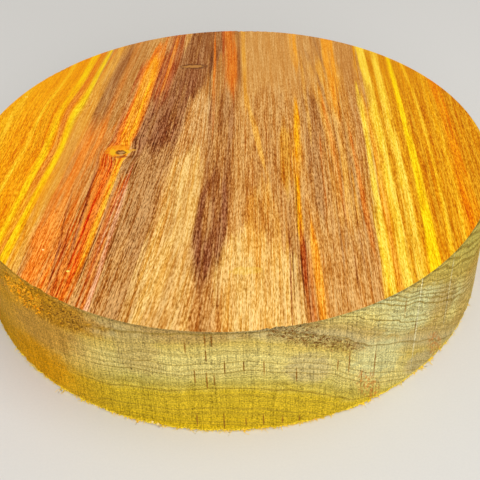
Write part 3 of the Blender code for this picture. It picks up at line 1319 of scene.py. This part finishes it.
# Which part of the blank a face belongs to
ZONE = "zone"
SIDE_ZONE, PLANED_ZONE, UNDER_ZONE = 0, 1, 2


def geometry_tree(name):
    tree = bpy.data.node_groups.new(name, "GeometryNodeTree")
    add_socket(tree, "Geometry", "Geometry", output=True)
    return tree


def input_wires(s):
    """The tree's inputs, in order."""
    given = s.node("NodeGroupInput")
    return [s.wire(given, i) for i in range(len(given.outputs) - 1)]


def position(s):
    return s.parts(s.make("GeometryNodeInputPosition"))


def stored(s, geometry, name, value, data_type="FLOAT", domain="POINT"):
    """The geometry with a named attribute."""
    feeds = {0: geometry, 2: name, 3: value}
    settings = {"data_type": data_type, "domain": domain}
    return s.make("GeometryNodeStoreNamedAttribute", feeds, **settings)


def attribute(s, name, data_type="FLOAT"):
    return s.make("GeometryNodeInputNamedAttribute", {0: name}, data_type=data_type)


def flat_face(s, cells, radius, height, spot, zone):
    """A square grid bent into a disc, whose rim has evenly spaced points."""
    count = cells + 1.0
    feeds = {"Size X": 2.0, "Size Y": 2.0, "Vertices X": count, "Vertices Y": count}
    grid = s.make("GeometryNodeMeshGrid", feeds)
    a, b, _ = position(s)
    sideways = s.math("GREATER_THAN", s.abs(a) + 1e-6, s.abs(b))
    reach = s.blend(b, a, sideways) * radius
    quarter = math.pi / 4
    turn = s.blend(math.pi / 2 - a / b * quarter, b / a * quarter, sideways)
    place = s.vector(s.math("COSINE", turn) * reach, s.math("SINE", turn) * reach, height)
    face = s.make("GeometryNodeSetPosition", {0: grid, 2: place})
    x, y, _ = position(s)
    across, up, size = spot
    scale = size / radius
    mirror = 1.0
    if zone == UNDER_ZONE:
        face = s.make("GeometryNodeFlipFaces", {0: face})
        mirror = -1.0
    spot = s.vector(x * scale * mirror + across, y * scale + up, 0.0)
    face = stored(s, face, MAP, spot, "FLOAT2", "CORNER")
    return stored(s, face, ZONE, zone, "INT", "FACE")


def half_side(s, cells, rows, radius, thickness, planed, sawn, start, low):
    """Half of the side, from one end of the X axis round to the other."""
    feeds = {"Size X": 1.0, "Size Y": 1.0}
    feeds |= {"Vertices X": cells * 2.0 + 1.0, "Vertices Y": rows + 1.0}
    grid = s.make("GeometryNodeMeshGrid", feeds)
    a, b, _ = position(s)
    a = a + 0.5
    row = s.math("ROUND", (0.5 - b) * rows)
    top, bottom = s.math("LESS_THAN", row, 0.5), s.math("GREATER_THAN", row, rows - 0.5)
    down = s.math("MAXIMUM", s.math("MINIMUM", (row - 1.0) / (rows - 2.0), 1.0), 0.0)
    height = thickness - planed - down * (thickness - planed - sawn)
    height = height + top * planed - bottom * sawn
    reach = radius - top * planed - bottom * sawn
    turn = a * math.pi + start
    margin = SIDE_MAP_MARGIN
    up = height / thickness * SIDE_MAP_HEIGHT + low
    spot = s.vector(a * (1 - 2 * margin) + margin, up, 0.0)
    side = stored(s, grid, MAP, spot, "FLOAT2", "CORNER")
    place = s.vector(s.math("COSINE", turn) * reach, s.math("SINE", turn) * reach, height)
    side = s.make("GeometryNodeSetPosition", {0: side, 2: place})
    return stored(s, side, ZONE, SIDE_ZONE, "INT", "FACE")


# Noise that shapes the side: its sizes in millimetres across the blank, along the grain and
# up, and for all but the first two the part of it that cuts in
STRAY_SIZES = (55, 55, 300)
RIB_SIZES = (2.6, 2.6, 80)
TEAR_SIZES, TEARS = (1.7, 1.7, 5), (0.40, 0.72)
CHIP_SIZES, CHIPS = (2.4, 2.4, 4), (0.42, 0.75)
HOLLOW_SIZES, HOLLOWS = (1.8, 1.8, 1.5), (0.38, 0.66)

# How ragged the torn patches are, and how much less deep the one at the top is
TORN_RAGGED = 2.4
TOP_SHARE = 0.6

# How far in from the rim the saw's marks reach, how far the chips of the lower edge do, and
# how high up the side that edge is torn, in millimetres
MARKED_RIM = (9.0, 1.2)
CHIPPED_RIM = (3.0, 0.8)
TORN_HEIGHT = (3.0, 0.0)
CHIP_SHARE = 0.7

# The pit in the knot: half its width and length, and the shares of them at its rim and floor
PIT_HALF = (1.7, 1.4)
PIT_SLOPE = (1.0, 0.3)

# Points nearer than this to one another are one, in millimetres
JOIN_WITHIN = 0.01

# The angle between two faces above which the edge between them is sharp
SHARP_ABOVE = math.radians(40)


def near_rim(s, reach, edge):
    """0 farther in from the rim than the first number and 1 farther out than the second."""
    inner, outer = edge
    return s.smooth(reach, RADIUS_MM - inner, RADIUS_MM - outer)


def torn_outline(s, x, y, z):
    """What makes the outlines of the torn patches ragged."""
    return centred(grain_wave(s, x, y, z, BLOTCH_SIZES, detail=3.0)) * TORN_RAGGED


def blank_tree(settings, materials):
    """The blank: two faces, the side between them, and what the saw tore out of it."""
    tree = geometry_tree("Bowl Blank")
    names = (
        "radius", "thickness", "face_cells", "side_rows", "planed_edge", "sawn_edge",
        "out_of_round", "saw_marks", "torn_edge", "torn_grain", "knot_pit",
    )
    values = tree_inputs(tree, settings, names)
    s = Sketch(tree)
    radius, thickness, cells, rows, planed, sawn, stray, marks, edge, torn, pit = input_wires(s)

    join = s.node("GeometryNodeJoinGeometry")
    low, high = SIDE_MAP_MARGIN, 2 * SIDE_MAP_MARGIN + SIDE_MAP_HEIGHT
    for part in (
        flat_face(s, cells, radius - planed, thickness, PLANED_MAP, PLANED_ZONE),
        flat_face(s, cells, radius - sawn, 0.0, UNDER_MAP, UNDER_ZONE),
        half_side(s, cells, rows, radius, thickness, planed, sawn, -math.pi, low),
        half_side(s, cells, rows, radius, thickness, planed, sawn, 0.0, high),
    ):
        tree.links.new(part.socket, join.inputs[0])
    feeds = {0: s.wire(join), "Distance": JOIN_WITHIN * MM}
    body = s.make("GeometryNodeMergeByDistance", feeds)
    body = s.make("GeometryNodeTriangulate", {0: body}, quad_method="SHORTEST_DIAGONAL")

    # The saw's marks, all of them cut in from the true disc
    x, y, z = (part / MM for part in position(s))
    depth = thickness / MM - z
    reach = s.math("SQRT", x * x + y * y)
    outer = near_rim(s, reach, MARKED_RIM)
    sway = grain_wave(s, x, y, z, STRAY_SIZES, detail=1.0)
    rib = grain_wave(s, x, y, z, RIB_SIZES)
    tear = s.smooth(grain_wave(s, x, y, z, TEAR_SIZES, detail=3.0), *TEARS)
    chip = s.smooth(grain_wave(s, x, y, z, CHIP_SIZES, detail=3.0), *CHIPS)
    arc = round_side(s, x, y)
    rough = torn_outline(s, x, y, z)
    left, right, top = (
        patch_share(s, arc, depth, place, half, fall, rough, 0.6) for place, half, fall in TORN
    )
    hole = s.math("MAXIMUM", s.math("MAXIMUM", left, right), top * TOP_SHARE)
    hole = hole * s.smooth(grain_wave(s, x, y, z, HOLLOW_SIZES), *HOLLOWS)
    low_edge = s.smooth(z, *TORN_HEIGHT)
    inward = (sway * stray + rib * marks + tear * low_edge * edge + hole * torn) * outer
    knot = s.vector((x - KNOT[0]) / PIT_HALF[0], (y - KNOT[1]) / PIT_HALF[1], 0.0)
    knot = s.make("ShaderNodeVectorMath", {0: knot}, 1, operation="LENGTH")
    on_top = s.math("LESS_THAN", depth, JOIN_WITHIN)
    sunk = s.smooth(knot, *PIT_SLOPE) * on_top * pit
    lifted = chip * low_edge * edge * CHIP_SHARE * near_rim(s, reach, CHIPPED_RIM)
    offset = s.vector(x / reach * inward * -1.0, y / reach * inward * -1.0, lifted - sunk)
    body = s.make("GeometryNodeSetPosition", {0: body, 3: offset})
    body = s.make("GeometryNodeRealizeInstances", {0: body})
    zone = attribute(s, ZONE, "INT")
    for number, material in zip((SIDE_ZONE, PLANED_ZONE, UNDER_ZONE), materials):
        same = {"data_type": "INT", "operation": "EQUAL"}
        chosen = s.make("FunctionNodeCompare", {2: zone, 3: number}, **same)
        body = s.make("GeometryNodeSetMaterial", {0: body, 1: chosen, 2: material})
    s.node("NodeGroupOutput", {0: body})
    return tree, values


# The torn fibres

def random_float(s, low, high, seed, step):
    feeds = {2: low, 3: high, "Seed": seed + step}
    return s.make("FunctionNodeRandomValue", feeds, 1, data_type="FLOAT")


def outward(s):
    """The directions away from the disc's axis and round it."""
    x, y, _ = position(s)
    return s.vec("NORMALIZE", s.vector(x, y, 0.0)), s.vec("NORMALIZE", s.vector(y * -1.0, x, 0.0))


def splinters(s, points, chosen, way, size, sides=4, segments=3):
    """A thin pointed cone on each chosen point, with how far up it each vertex is."""
    feeds = {
        "Vertices": sides, "Side Segments": segments, "Radius Top": 0.08, "Radius Bottom": 0.5,
        "Depth": 1.0,
    }
    cone = s.make("GeometryNodeMeshCone", feeds, fill_type="TRIANGLE_FAN")
    cone = stored(s, cone, "height", position(s)[2])
    turned = s.make("FunctionNodeAlignRotationToVector", {"Vector": way}, axis="Z")
    feeds = {
        "Points": points, "Selection": chosen, "Instance": cone, "Rotation": turned,
        "Scale": size,
    }
    placed = s.make("GeometryNodeInstanceOnPoints", feeds)
    return s.make("GeometryNodeRealizeInstances", {0: placed})


def curled(s, geometry, amount, size):
    """The splinters, bent more towards their tips."""
    place = s.make("GeometryNodeInputPosition")
    push = s.noise(s.vec("MULTIPLY", place, 1 / size), 1.0, output="Color")
    height = attribute(s, "height")
    amount = height * height * attribute(s, "length") * (amount * 4)
    offset = s.scaled(s.vec("SUBTRACT", push, 0.5), amount)
    return s.make("GeometryNodeSetPosition", {0: geometry, 3: offset})


# Where the fibres are rooted: how far in from the rim, and how high and how far off their
# place they may stand, in millimetres
ROOT_DEPTH = 0.7
ROOT_HEIGHT = (0.15, 1.1)
ROOT_SHIFT = 0.4

# The fibres' clumps: their size in millimetres, and which part of their noise has fibres and
# has long ones
CLUMP_SIZE = 3.2
CLUMPED = (0.30, 0.68)
LONG_CLUMPS = (0.4, 0.7)

# From where to where end grain begins, in shares of the radius, and what share of the fibres
# side grain has
FIBROUS = (0.3, 0.8)
SIDE_GRAIN_SHARE = 0.25

# The shortest fibres of all, outside the clumps and behind, in shares of the longest
SHORTEST = 0.12
SHORT_OUTSIDE = 0.35
SHORT_BEHIND = 0.6

# Which way a fibre points: along the edge, outwards and up, each between two shares
FIBRE_ALONG = (-1.3, 1.3)
FIBRE_OUT = (0.25, 1.0)
FIBRE_UP = (-0.9, 0.2)

# A fibre's width between two shares of the one that is set, its thickness as a share of its
# width, how much it curls and over how many millimetres, and how low it may hang
FIBRE_WIDTH = (0.4, 1.2)
FIBRE_FLATNESS = 0.6
FIBRE_CURL = 0.45
CURL_SIZE = 0.9
LOWEST = 0.04


def edge_fibre_tree(settings, material):
    """Fibres torn out along the lower edge, most of them short and in clumps."""
    tree = geometry_tree("Edge Fibres")
    values = tree_inputs(tree, settings, ("edge_count", "edge_length", "edge_width", "seed"))
    s = Sketch(tree)
    count, longest, width, seed = input_wires(s)
    feeds = {"Resolution": 512, "Radius": RADIUS - ROOT_DEPTH * MM}
    circle = s.make("GeometryNodeCurvePrimitiveCircle", feeds)
    points = s.make("GeometryNodeCurveToPoints", {0: circle, "Count": count}, mode="COUNT")
    out, tangent = outward(s)
    low, high = (edge * MM for edge in ROOT_HEIGHT)
    shift = s.scaled(tangent, random_float(s, -ROOT_SHIFT * MM, ROOT_SHIFT * MM, seed, 1))
    height = random_float(s, low, high, seed, 2)
    shift = s.vec("ADD", shift, s.vector(0.0, 0.0, height))
    points = s.make("GeometryNodeSetPosition", {0: points, 3: shift})

    x, y, _ = position(s)
    clump = s.noise(s.vec("MULTIPLY", s.vector(x, y, 0.0), 1 / (CLUMP_SIZE * MM)), 3.0, 0.6)
    end = s.smooth(s.abs(y), *(share * RADIUS for share in FIBROUS))
    front = s.smooth(y, 0.0, -RADIUS)
    chance = s.smooth(clump, *CLUMPED) * s.blend(SIDE_GRAIN_SHARE, 1.0, end)
    chosen = s.math("LESS_THAN", random_float(s, 0.0, 1.0, seed, 3), chance)
    draw = random_float(s, 0.0, 1.0, seed, 4)
    length = s.blend(SHORTEST, 1.0, draw * draw * draw) * longest
    length = length * s.blend(SHORT_OUTSIDE, 1.0, s.smooth(clump, *LONG_CLUMPS))
    length = length * s.blend(SHORT_BEHIND, 1.0, front)
    side = s.scaled(tangent, random_float(s, *FIBRE_ALONG, seed, 5))
    away = s.scaled(out, random_float(s, *FIBRE_OUT, seed, 6))
    fall = s.vector(0.0, 0.0, random_float(s, *FIBRE_UP, seed, 7))
    way = s.vec("ADD", s.vec("ADD", side, away), fall)
    across = width * random_float(s, *FIBRE_WIDTH, seed, 8)
    points = stored(s, points, "length", length)
    size = s.vector(across, across * FIBRE_FLATNESS, length)
    fibres = splinters(s, points, chosen, way, size)
    fibres = curled(s, fibres, FIBRE_CURL, CURL_SIZE * MM)
    x, y, z = position(s)
    above = s.vector(x, y, s.math("MAXIMUM", z, LOWEST * MM))
    fibres = s.make("GeometryNodeSetPosition", {0: fibres, 2: above})
    fibres = s.make("GeometryNodeSetMaterial", {0: fibres, 2: material})
    s.node("NodeGroupOutput", {0: fibres})
    return tree, values


# How much larger than its patch the sheet is that flakes grow on, the cells along and up it,
# and how far in from the rim it lies, in millimetres
SHEET_MARGIN = 2.6
SHEET_CELLS = (40, 12)
SHEET_DEPTH = 0.55

# The depths in millimetres between which the flakes begin, below the planed face
FLAKE_DEPTH = (0.6, 1.4)

# The flakes' tufts: the sizes of their noise in millimetres, and which part of it has flakes
TUFT_SIZES = (3.2, 3.2, 2.2)
TUFTED = (0.42, 0.60)

# Which way a flake points: along the side, outwards and up, each between two shares
FLAKE_ALONG = (-0.9, 0.9)
FLAKE_OUT = (0.15, 0.7)
FLAKE_UP = (-1.2, 0.1)

# The shortest flakes as a share of the longest, a flake's width, thickness and length as
# shares of its length, and how much it curls and over how many millimetres
SHORTEST_FLAKE = 0.3
FLAKE_SHAPE = (1.3, 0.5, 0.8)
FLAKE_CURL = 0.3
FLAKE_CURL_SIZE = 0.8


def torn_flake_tree(settings, spot, material):
    """Flakes of end grain that the saw tore up over one spot of the side."""
    tree = geometry_tree("Torn Flakes")
    values = tree_inputs(tree, settings, ("flake_density", "flake_length", "seed"))
    s = Sketch(tree)
    density, longest, seed = input_wires(s)
    (degrees, depth), (half_arc, half_depth), fall = spot
    wide = half_arc * SHEET_MARGIN
    tall = (half_depth + abs(fall) * half_arc) * SHEET_MARGIN
    along, up = SHEET_CELLS
    feeds = {"Size X": wide * MM, "Size Y": tall * MM, "Vertices X": along, "Vertices Y": up}
    sheet = s.make("GeometryNodeMeshGrid", feeds)
    x, y, _ = (part / MM for part in position(s))
    turn = (x + degrees * ARC_PER_DEGREE) / RADIUS_MM
    reach = RADIUS - SHEET_DEPTH * MM
    height = (THICKNESS_MM - depth + y) * MM
    place = s.vector(s.math("SINE", turn) * reach, s.math("COSINE", turn) * -reach, height)
    sheet = s.make("GeometryNodeSetPosition", {0: sheet, 2: place})
    x, y, z = (part / MM for part in position(s))
    rough = torn_outline(s, x, y, z)
    share = patch_share(s, round_side(s, x, y), THICKNESS_MM - z, *spot, rough)
    share = share * s.smooth(z, *(THICKNESS_MM - edge for edge in FLAKE_DEPTH))
    share = share * s.smooth(grain_wave(s, x, y, z, TUFT_SIZES, detail=2.0), *TUFTED)
    feeds = {"Mesh": sheet, "Density": density * share, "Seed": seed}
    points = s.make("GeometryNodeDistributePointsOnFaces", feeds, distribute_method="RANDOM")
    out, tangent = outward(s)
    side = s.scaled(tangent, random_float(s, *FLAKE_ALONG, seed, 11))
    away = s.scaled(out, random_float(s, *FLAKE_OUT, seed, 12))
    lean = s.vector(0.0, 0.0, random_float(s, *FLAKE_UP, seed, 13))
    way = s.vec("ADD", s.vec("ADD", side, away), lean)
    draw = random_float(s, 0.0, 1.0, seed, 14)
    length = longest * s.blend(SHORTEST_FLAKE, 1.0, draw * draw)
    points = stored(s, points, "length", length)
    size = s.vector(*(length * share for share in FLAKE_SHAPE))
    flakes = splinters(s, points, True, way, size, 4, 2)
    flakes = curled(s, flakes, FLAKE_CURL, FLAKE_CURL_SIZE * MM)
    flakes = s.make("GeometryNodeSetMaterial", {0: flakes, 2: material})
    s.node("NodeGroupOutput", {0: flakes})
    return tree, values


# The crumbs: their size, the shares of it that each is stretched by at least and at most, and
# how far they are dented and over what size, in millimetres
CRUMB_SIZE = 0.5
CRUMB_LEAST, CRUMB_MOST = (0.6, 0.6, 0.5), (1.5, 1.1, 0.8)
CRUMB_DENT = 0.8
CRUMB_DENT_SIZE = 0.7
CRUMB_SEED = 3

# How far above the planed face the middle of a crumb is, in millimetres
CRUMB_LIFT = 0.1


def crumb_tree(material):
    """A rough crumb on each point of the mesh that comes in."""
    tree = geometry_tree("Sawdust Crumbs")
    add_socket(tree, "Geometry", "Geometry")
    size = add_socket(tree, "Size", "Float")
    seed = add_socket(tree, "Seed", "Int")
    values = {size.identifier: CRUMB_SIZE * MM, seed.identifier: CRUMB_SEED}
    s = Sketch(tree)
    mesh, size, seed = input_wires(s)
    points = s.make("GeometryNodeMeshToPoints", {0: mesh})
    ball = s.make("GeometryNodeMeshIcoSphere", {"Radius": 1.0, "Subdivisions": 3})
    feeds = {0: CRUMB_LEAST, 1: CRUMB_MOST, "Seed": seed}
    stretch = s.make("FunctionNodeRandomValue", feeds, data_type="FLOAT_VECTOR")
    feeds = {"Points": points, "Instance": ball, "Scale": s.scaled(stretch, size)}
    crumbs = s.make("GeometryNodeInstanceOnPoints", feeds)
    crumbs = s.make("GeometryNodeRealizeInstances", {0: crumbs})
    place = s.make("GeometryNodeInputPosition")
    lump = s.vec("MULTIPLY", place, 1 / (CRUMB_DENT_SIZE * MM))
    lump = s.noise(lump, 2.0, output="Color")
    push = s.vec("MULTIPLY", s.vec("SUBTRACT", lump, 0.5), CRUMB_DENT * MM)
    crumbs = s.make("GeometryNodeSetPosition", {0: crumbs, 3: push})
    crumbs = s.make("GeometryNodeSetMaterial", {0: crumbs, 2: material})
    s.node("NodeGroupOutput", {0: crumbs})
    return tree, values


# Operators

def kept_colours(context):
    """The wood's colours, as the nodes take them."""
    settings = context.scene.bowl_blank_colours
    return {name: (*getattr(settings, name), 1.0) for name in WOOD_COLOURS}


def belongs(piece):
    """Tells the frame what a finished piece moves with."""
    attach(piece, BODY)


class BOWLBLANK_OT_blank(Operator):
    """Make the disc of wood, with its planed face, sawn side and rough underside"""

    bl_idname = "bowlblank.blank"
    bl_label = "Blank"

    def execute(self, context):
        colours = kept_colours(context)
        figure = figure_group(colours)
        materials = (
            sawn_side(figure, colours),
            planed_wood(figure, colours),
            sawn_underside(figure, colours),
        )
        piece = grown("canarywood_blank", *blank_tree(context.scene.bowl_blank_shape, materials))
        piece.data.shade_smooth()
        piece.data.set_sharp_from_angle(angle=SHARP_ABOVE)
        belongs(piece)
        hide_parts(NODE)
        return {"FINISHED"}


class BOWLBLANK_OT_edge_fibres(Operator):
    """Make the fibres that the saw tore out along the lower edge"""

    bl_idname = "bowlblank.edge_fibres"
    bl_label = "Edge fibres"

    def execute(self, context):
        colours = kept_colours(context)
        settings = context.scene.bowl_blank_fibres
        material = torn_wood("torn fibres", colours["fibre"], colours["canary"], 3.0)
        belongs(grown("torn_edge_fibres", *edge_fibre_tree(settings, material)))
        return {"FINISHED"}


class BOWLBLANK_OT_torn_flakes(Operator):
    """Make the flakes of end grain that the saw tore up near the planed face"""

    bl_idname = "bowlblank.torn_flakes"
    bl_label = "Torn flakes"

    def execute(self, context):
        colours = kept_colours(context)
        settings = context.scene.bowl_blank_fibres
        for name, spot, pale, deep in (
            ("torn_flakes_left", TORN_GOLD, "gilt", "amber"),
            ("torn_flakes_right", TORN_RIGHT, "dust", "umber"),
        ):
            material = torn_wood(name.replace("_", " "), colours[pale], colours[deep], 1.2)
            belongs(grown(name, *torn_flake_tree(settings, spot, material)))
        return {"FINISHED"}


class BOWLBLANK_OT_crumbs(Operator):
    """Make the few crumbs of sawdust on the planed face and above the lower edge"""

    bl_idname = "bowlblank.crumbs"
    bl_label = "Crumbs"

    def execute(self, context):
        colours = kept_colours(context)
        material = torn_wood("sawdust crumbs", colours["crumb"], colours["fibre"], 2.0)
        spots = [(x, y, THICKNESS_MM + CRUMB_LIFT) for x, y in FACE_CRUMBS]
        for degrees, height in SIDE_CRUMBS:
            turn = math.radians(degrees)
            spots.append((math.sin(turn) * RADIUS_MM, -math.cos(turn) * RADIUS_MM, height))
        mesh = bpy.data.meshes.new("crumb places")
        mesh.from_pydata([Vector(spot) * MM for spot in spots], [], [])
        belongs(grown("sawdust_crumbs", *crumb_tree(material), source=mesh))
        return {"FINISHED"}


class BOWLBLANK_OT_stage(Operator):
    """Make the floor, the lights and the camera"""

    bl_idname = "bowlblank.stage"
    bl_label = "Floor, lights and camera"

    def execute(self, context):
        settings = context.scene.bowl_blank_stage
        make_floor(settings.floor_colour)
        make_lights(context.scene, settings)
        make_camera(context.scene)
        context.scene.view_settings.view_transform = "Standard"
        return {"FINISHED"}


# Half the floor's width in metres, the size of its grit in millimetres and how much that
# shades it, how rough the floor is, and how much its grit changes that
FLOOR_HALF = 4.0
GRIT = 0.8
GRIT_SHADE = 0.06
FLOOR_ROUGHNESS = 0.85
GRIT_ROUGHNESS = 0.1


def make_floor(colour):
    mesh = bpy.data.meshes.new("floor")
    half = FLOOR_HALF
    corners = [(-half, -half, 0), (half, -half, 0), (half, half, 0), (-half, half, 0)]
    mesh.from_pydata(corners, [], [(0, 1, 2, 3)])
    floor = bpy.data.objects.new("floor", mesh)
    bpy.context.scene.collection.objects.link(floor)
    made, s, shader = new_material("floor", specular=0.1, sheen=PLAIN)
    place = s.make("ShaderNodeTexCoord", output="Object")
    grit = s.noise(s.vec("MULTIPLY", place, 1 / (GRIT * MM)), 2.0)
    shade = 1.0 + centred(grit) * GRIT_SHADE
    s.feed(shader.inputs["Base Color"], s.scaled(tuple(colour), shade))
    s.feed(shader.inputs["Roughness"], FLOOR_ROUGHNESS + grit * GRIT_ROUGHNESS)
    mesh.materials.append(made)


# The colour of the room's even light, and each lamp's place and width in metres
ROOM_COLOUR = (1.0, 0.985, 0.96, 1.0)
KEY_PLACE, KEY_WIDTH = (0.35, -0.35, 1.4), 1.2
FRONT_PLACE, FRONT_WIDTH = (0.2, -1.4, 0.75), 0.9


def make_lights(scene, settings):
    world = bpy.data.worlds.new("room")
    world.use_nodes = True
    background = world.node_tree.nodes["Background"]
    background.inputs["Color"].default_value = ROOM_COLOUR
    background.inputs["Strength"].default_value = settings.room_light
    scene.world = world
    for name, place, size, power in (
        ("key light", KEY_PLACE, KEY_WIDTH, settings.key_light),
        ("front light", FRONT_PLACE, FRONT_WIDTH, settings.fill_light),
    ):
        lamp = bpy.data.lights.new(name, "AREA")
        lamp.size = size
        lamp.energy = power
        holder = bpy.data.objects.new(name, lamp)
        holder.location = place
        holder.rotation_euler = (-Vector(place)).to_track_quat("-Z", "Y").to_euler()
        scene.collection.objects.link(holder)


def make_camera(scene):
    lens = bpy.data.cameras.new("camera")
    lens.lens = CAMERA_LENS
    lens.sensor_width = CAMERA_SENSOR
    lens.clip_start = 0.01
    camera = bpy.data.objects.new("camera", lens)
    ahead = Vector((0, math.cos(CAMERA_ELEVATION), -math.sin(CAMERA_ELEVATION)))
    level_right = Vector((1, 0, 0))
    level_up = level_right.cross(ahead)
    right = level_right * math.cos(CAMERA_ROLL) + level_up * math.sin(CAMERA_ROLL)
    up = level_up * math.cos(CAMERA_ROLL) - level_right * math.sin(CAMERA_ROLL)
    turned = Matrix((right, up, -ahead)).transposed().to_4x4()
    camera.matrix_world = Matrix.Translation(CAMERA_LOOKS_AT - ahead * CAMERA_DISTANCE) @ turned
    scene.collection.objects.link(camera)
    scene.camera = camera


class BOWLBLANK_PT_panel(Panel):
    """The bowl blank's pieces and settings"""

    bl_label = "Bowl Blank"
    bl_idname = "BOWLBLANK_PT_panel"
    bl_space_type = "VIEW_3D"
    bl_region_type = "UI"
    bl_category = "Bowl Blank"

    def draw(self, context):
        for operator in OPERATORS:
            self.layout.operator(operator.bl_idname)
        for name, kind in SETTINGS.items():
            box = self.layout.box()
            box.label(text=kind.__doc__)
            for setting in kind.__annotations__:
                box.prop(getattr(context.scene, name), setting)


SETTINGS = {
    "bowl_blank_shape": BowlBlankShape,
    "bowl_blank_fibres": BowlBlankFibres,
    "bowl_blank_stage": BowlBlankStage,
    "bowl_blank_colours": BowlBlankColours,
}
OPERATORS = (
    BOWLBLANK_OT_blank,
    BOWLBLANK_OT_edge_fibres,
    BOWLBLANK_OT_torn_flakes,
    BOWLBLANK_OT_crumbs,
    BOWLBLANK_OT_stage,
)
CLASSES = (*SETTINGS.values(), *OPERATORS, BOWLBLANK_PT_panel)


def register():
    for kind in CLASSES:
        bpy.utils.register_class(kind)
    for name, kind in SETTINGS.items():
        setattr(bpy.types.Scene, name, PointerProperty(type=kind))


def unregister():
    for name in SETTINGS:
        delattr(bpy.types.Scene, name)
    for kind in reversed(CLASSES):
        bpy.utils.unregister_class(kind)


def main():
    register()
    for operator in OPERATORS:
        family, name = operator.bl_idname.split(".")
        getattr(getattr(bpy.ops, family), name)()


if __name__ == "__main__":
    main()
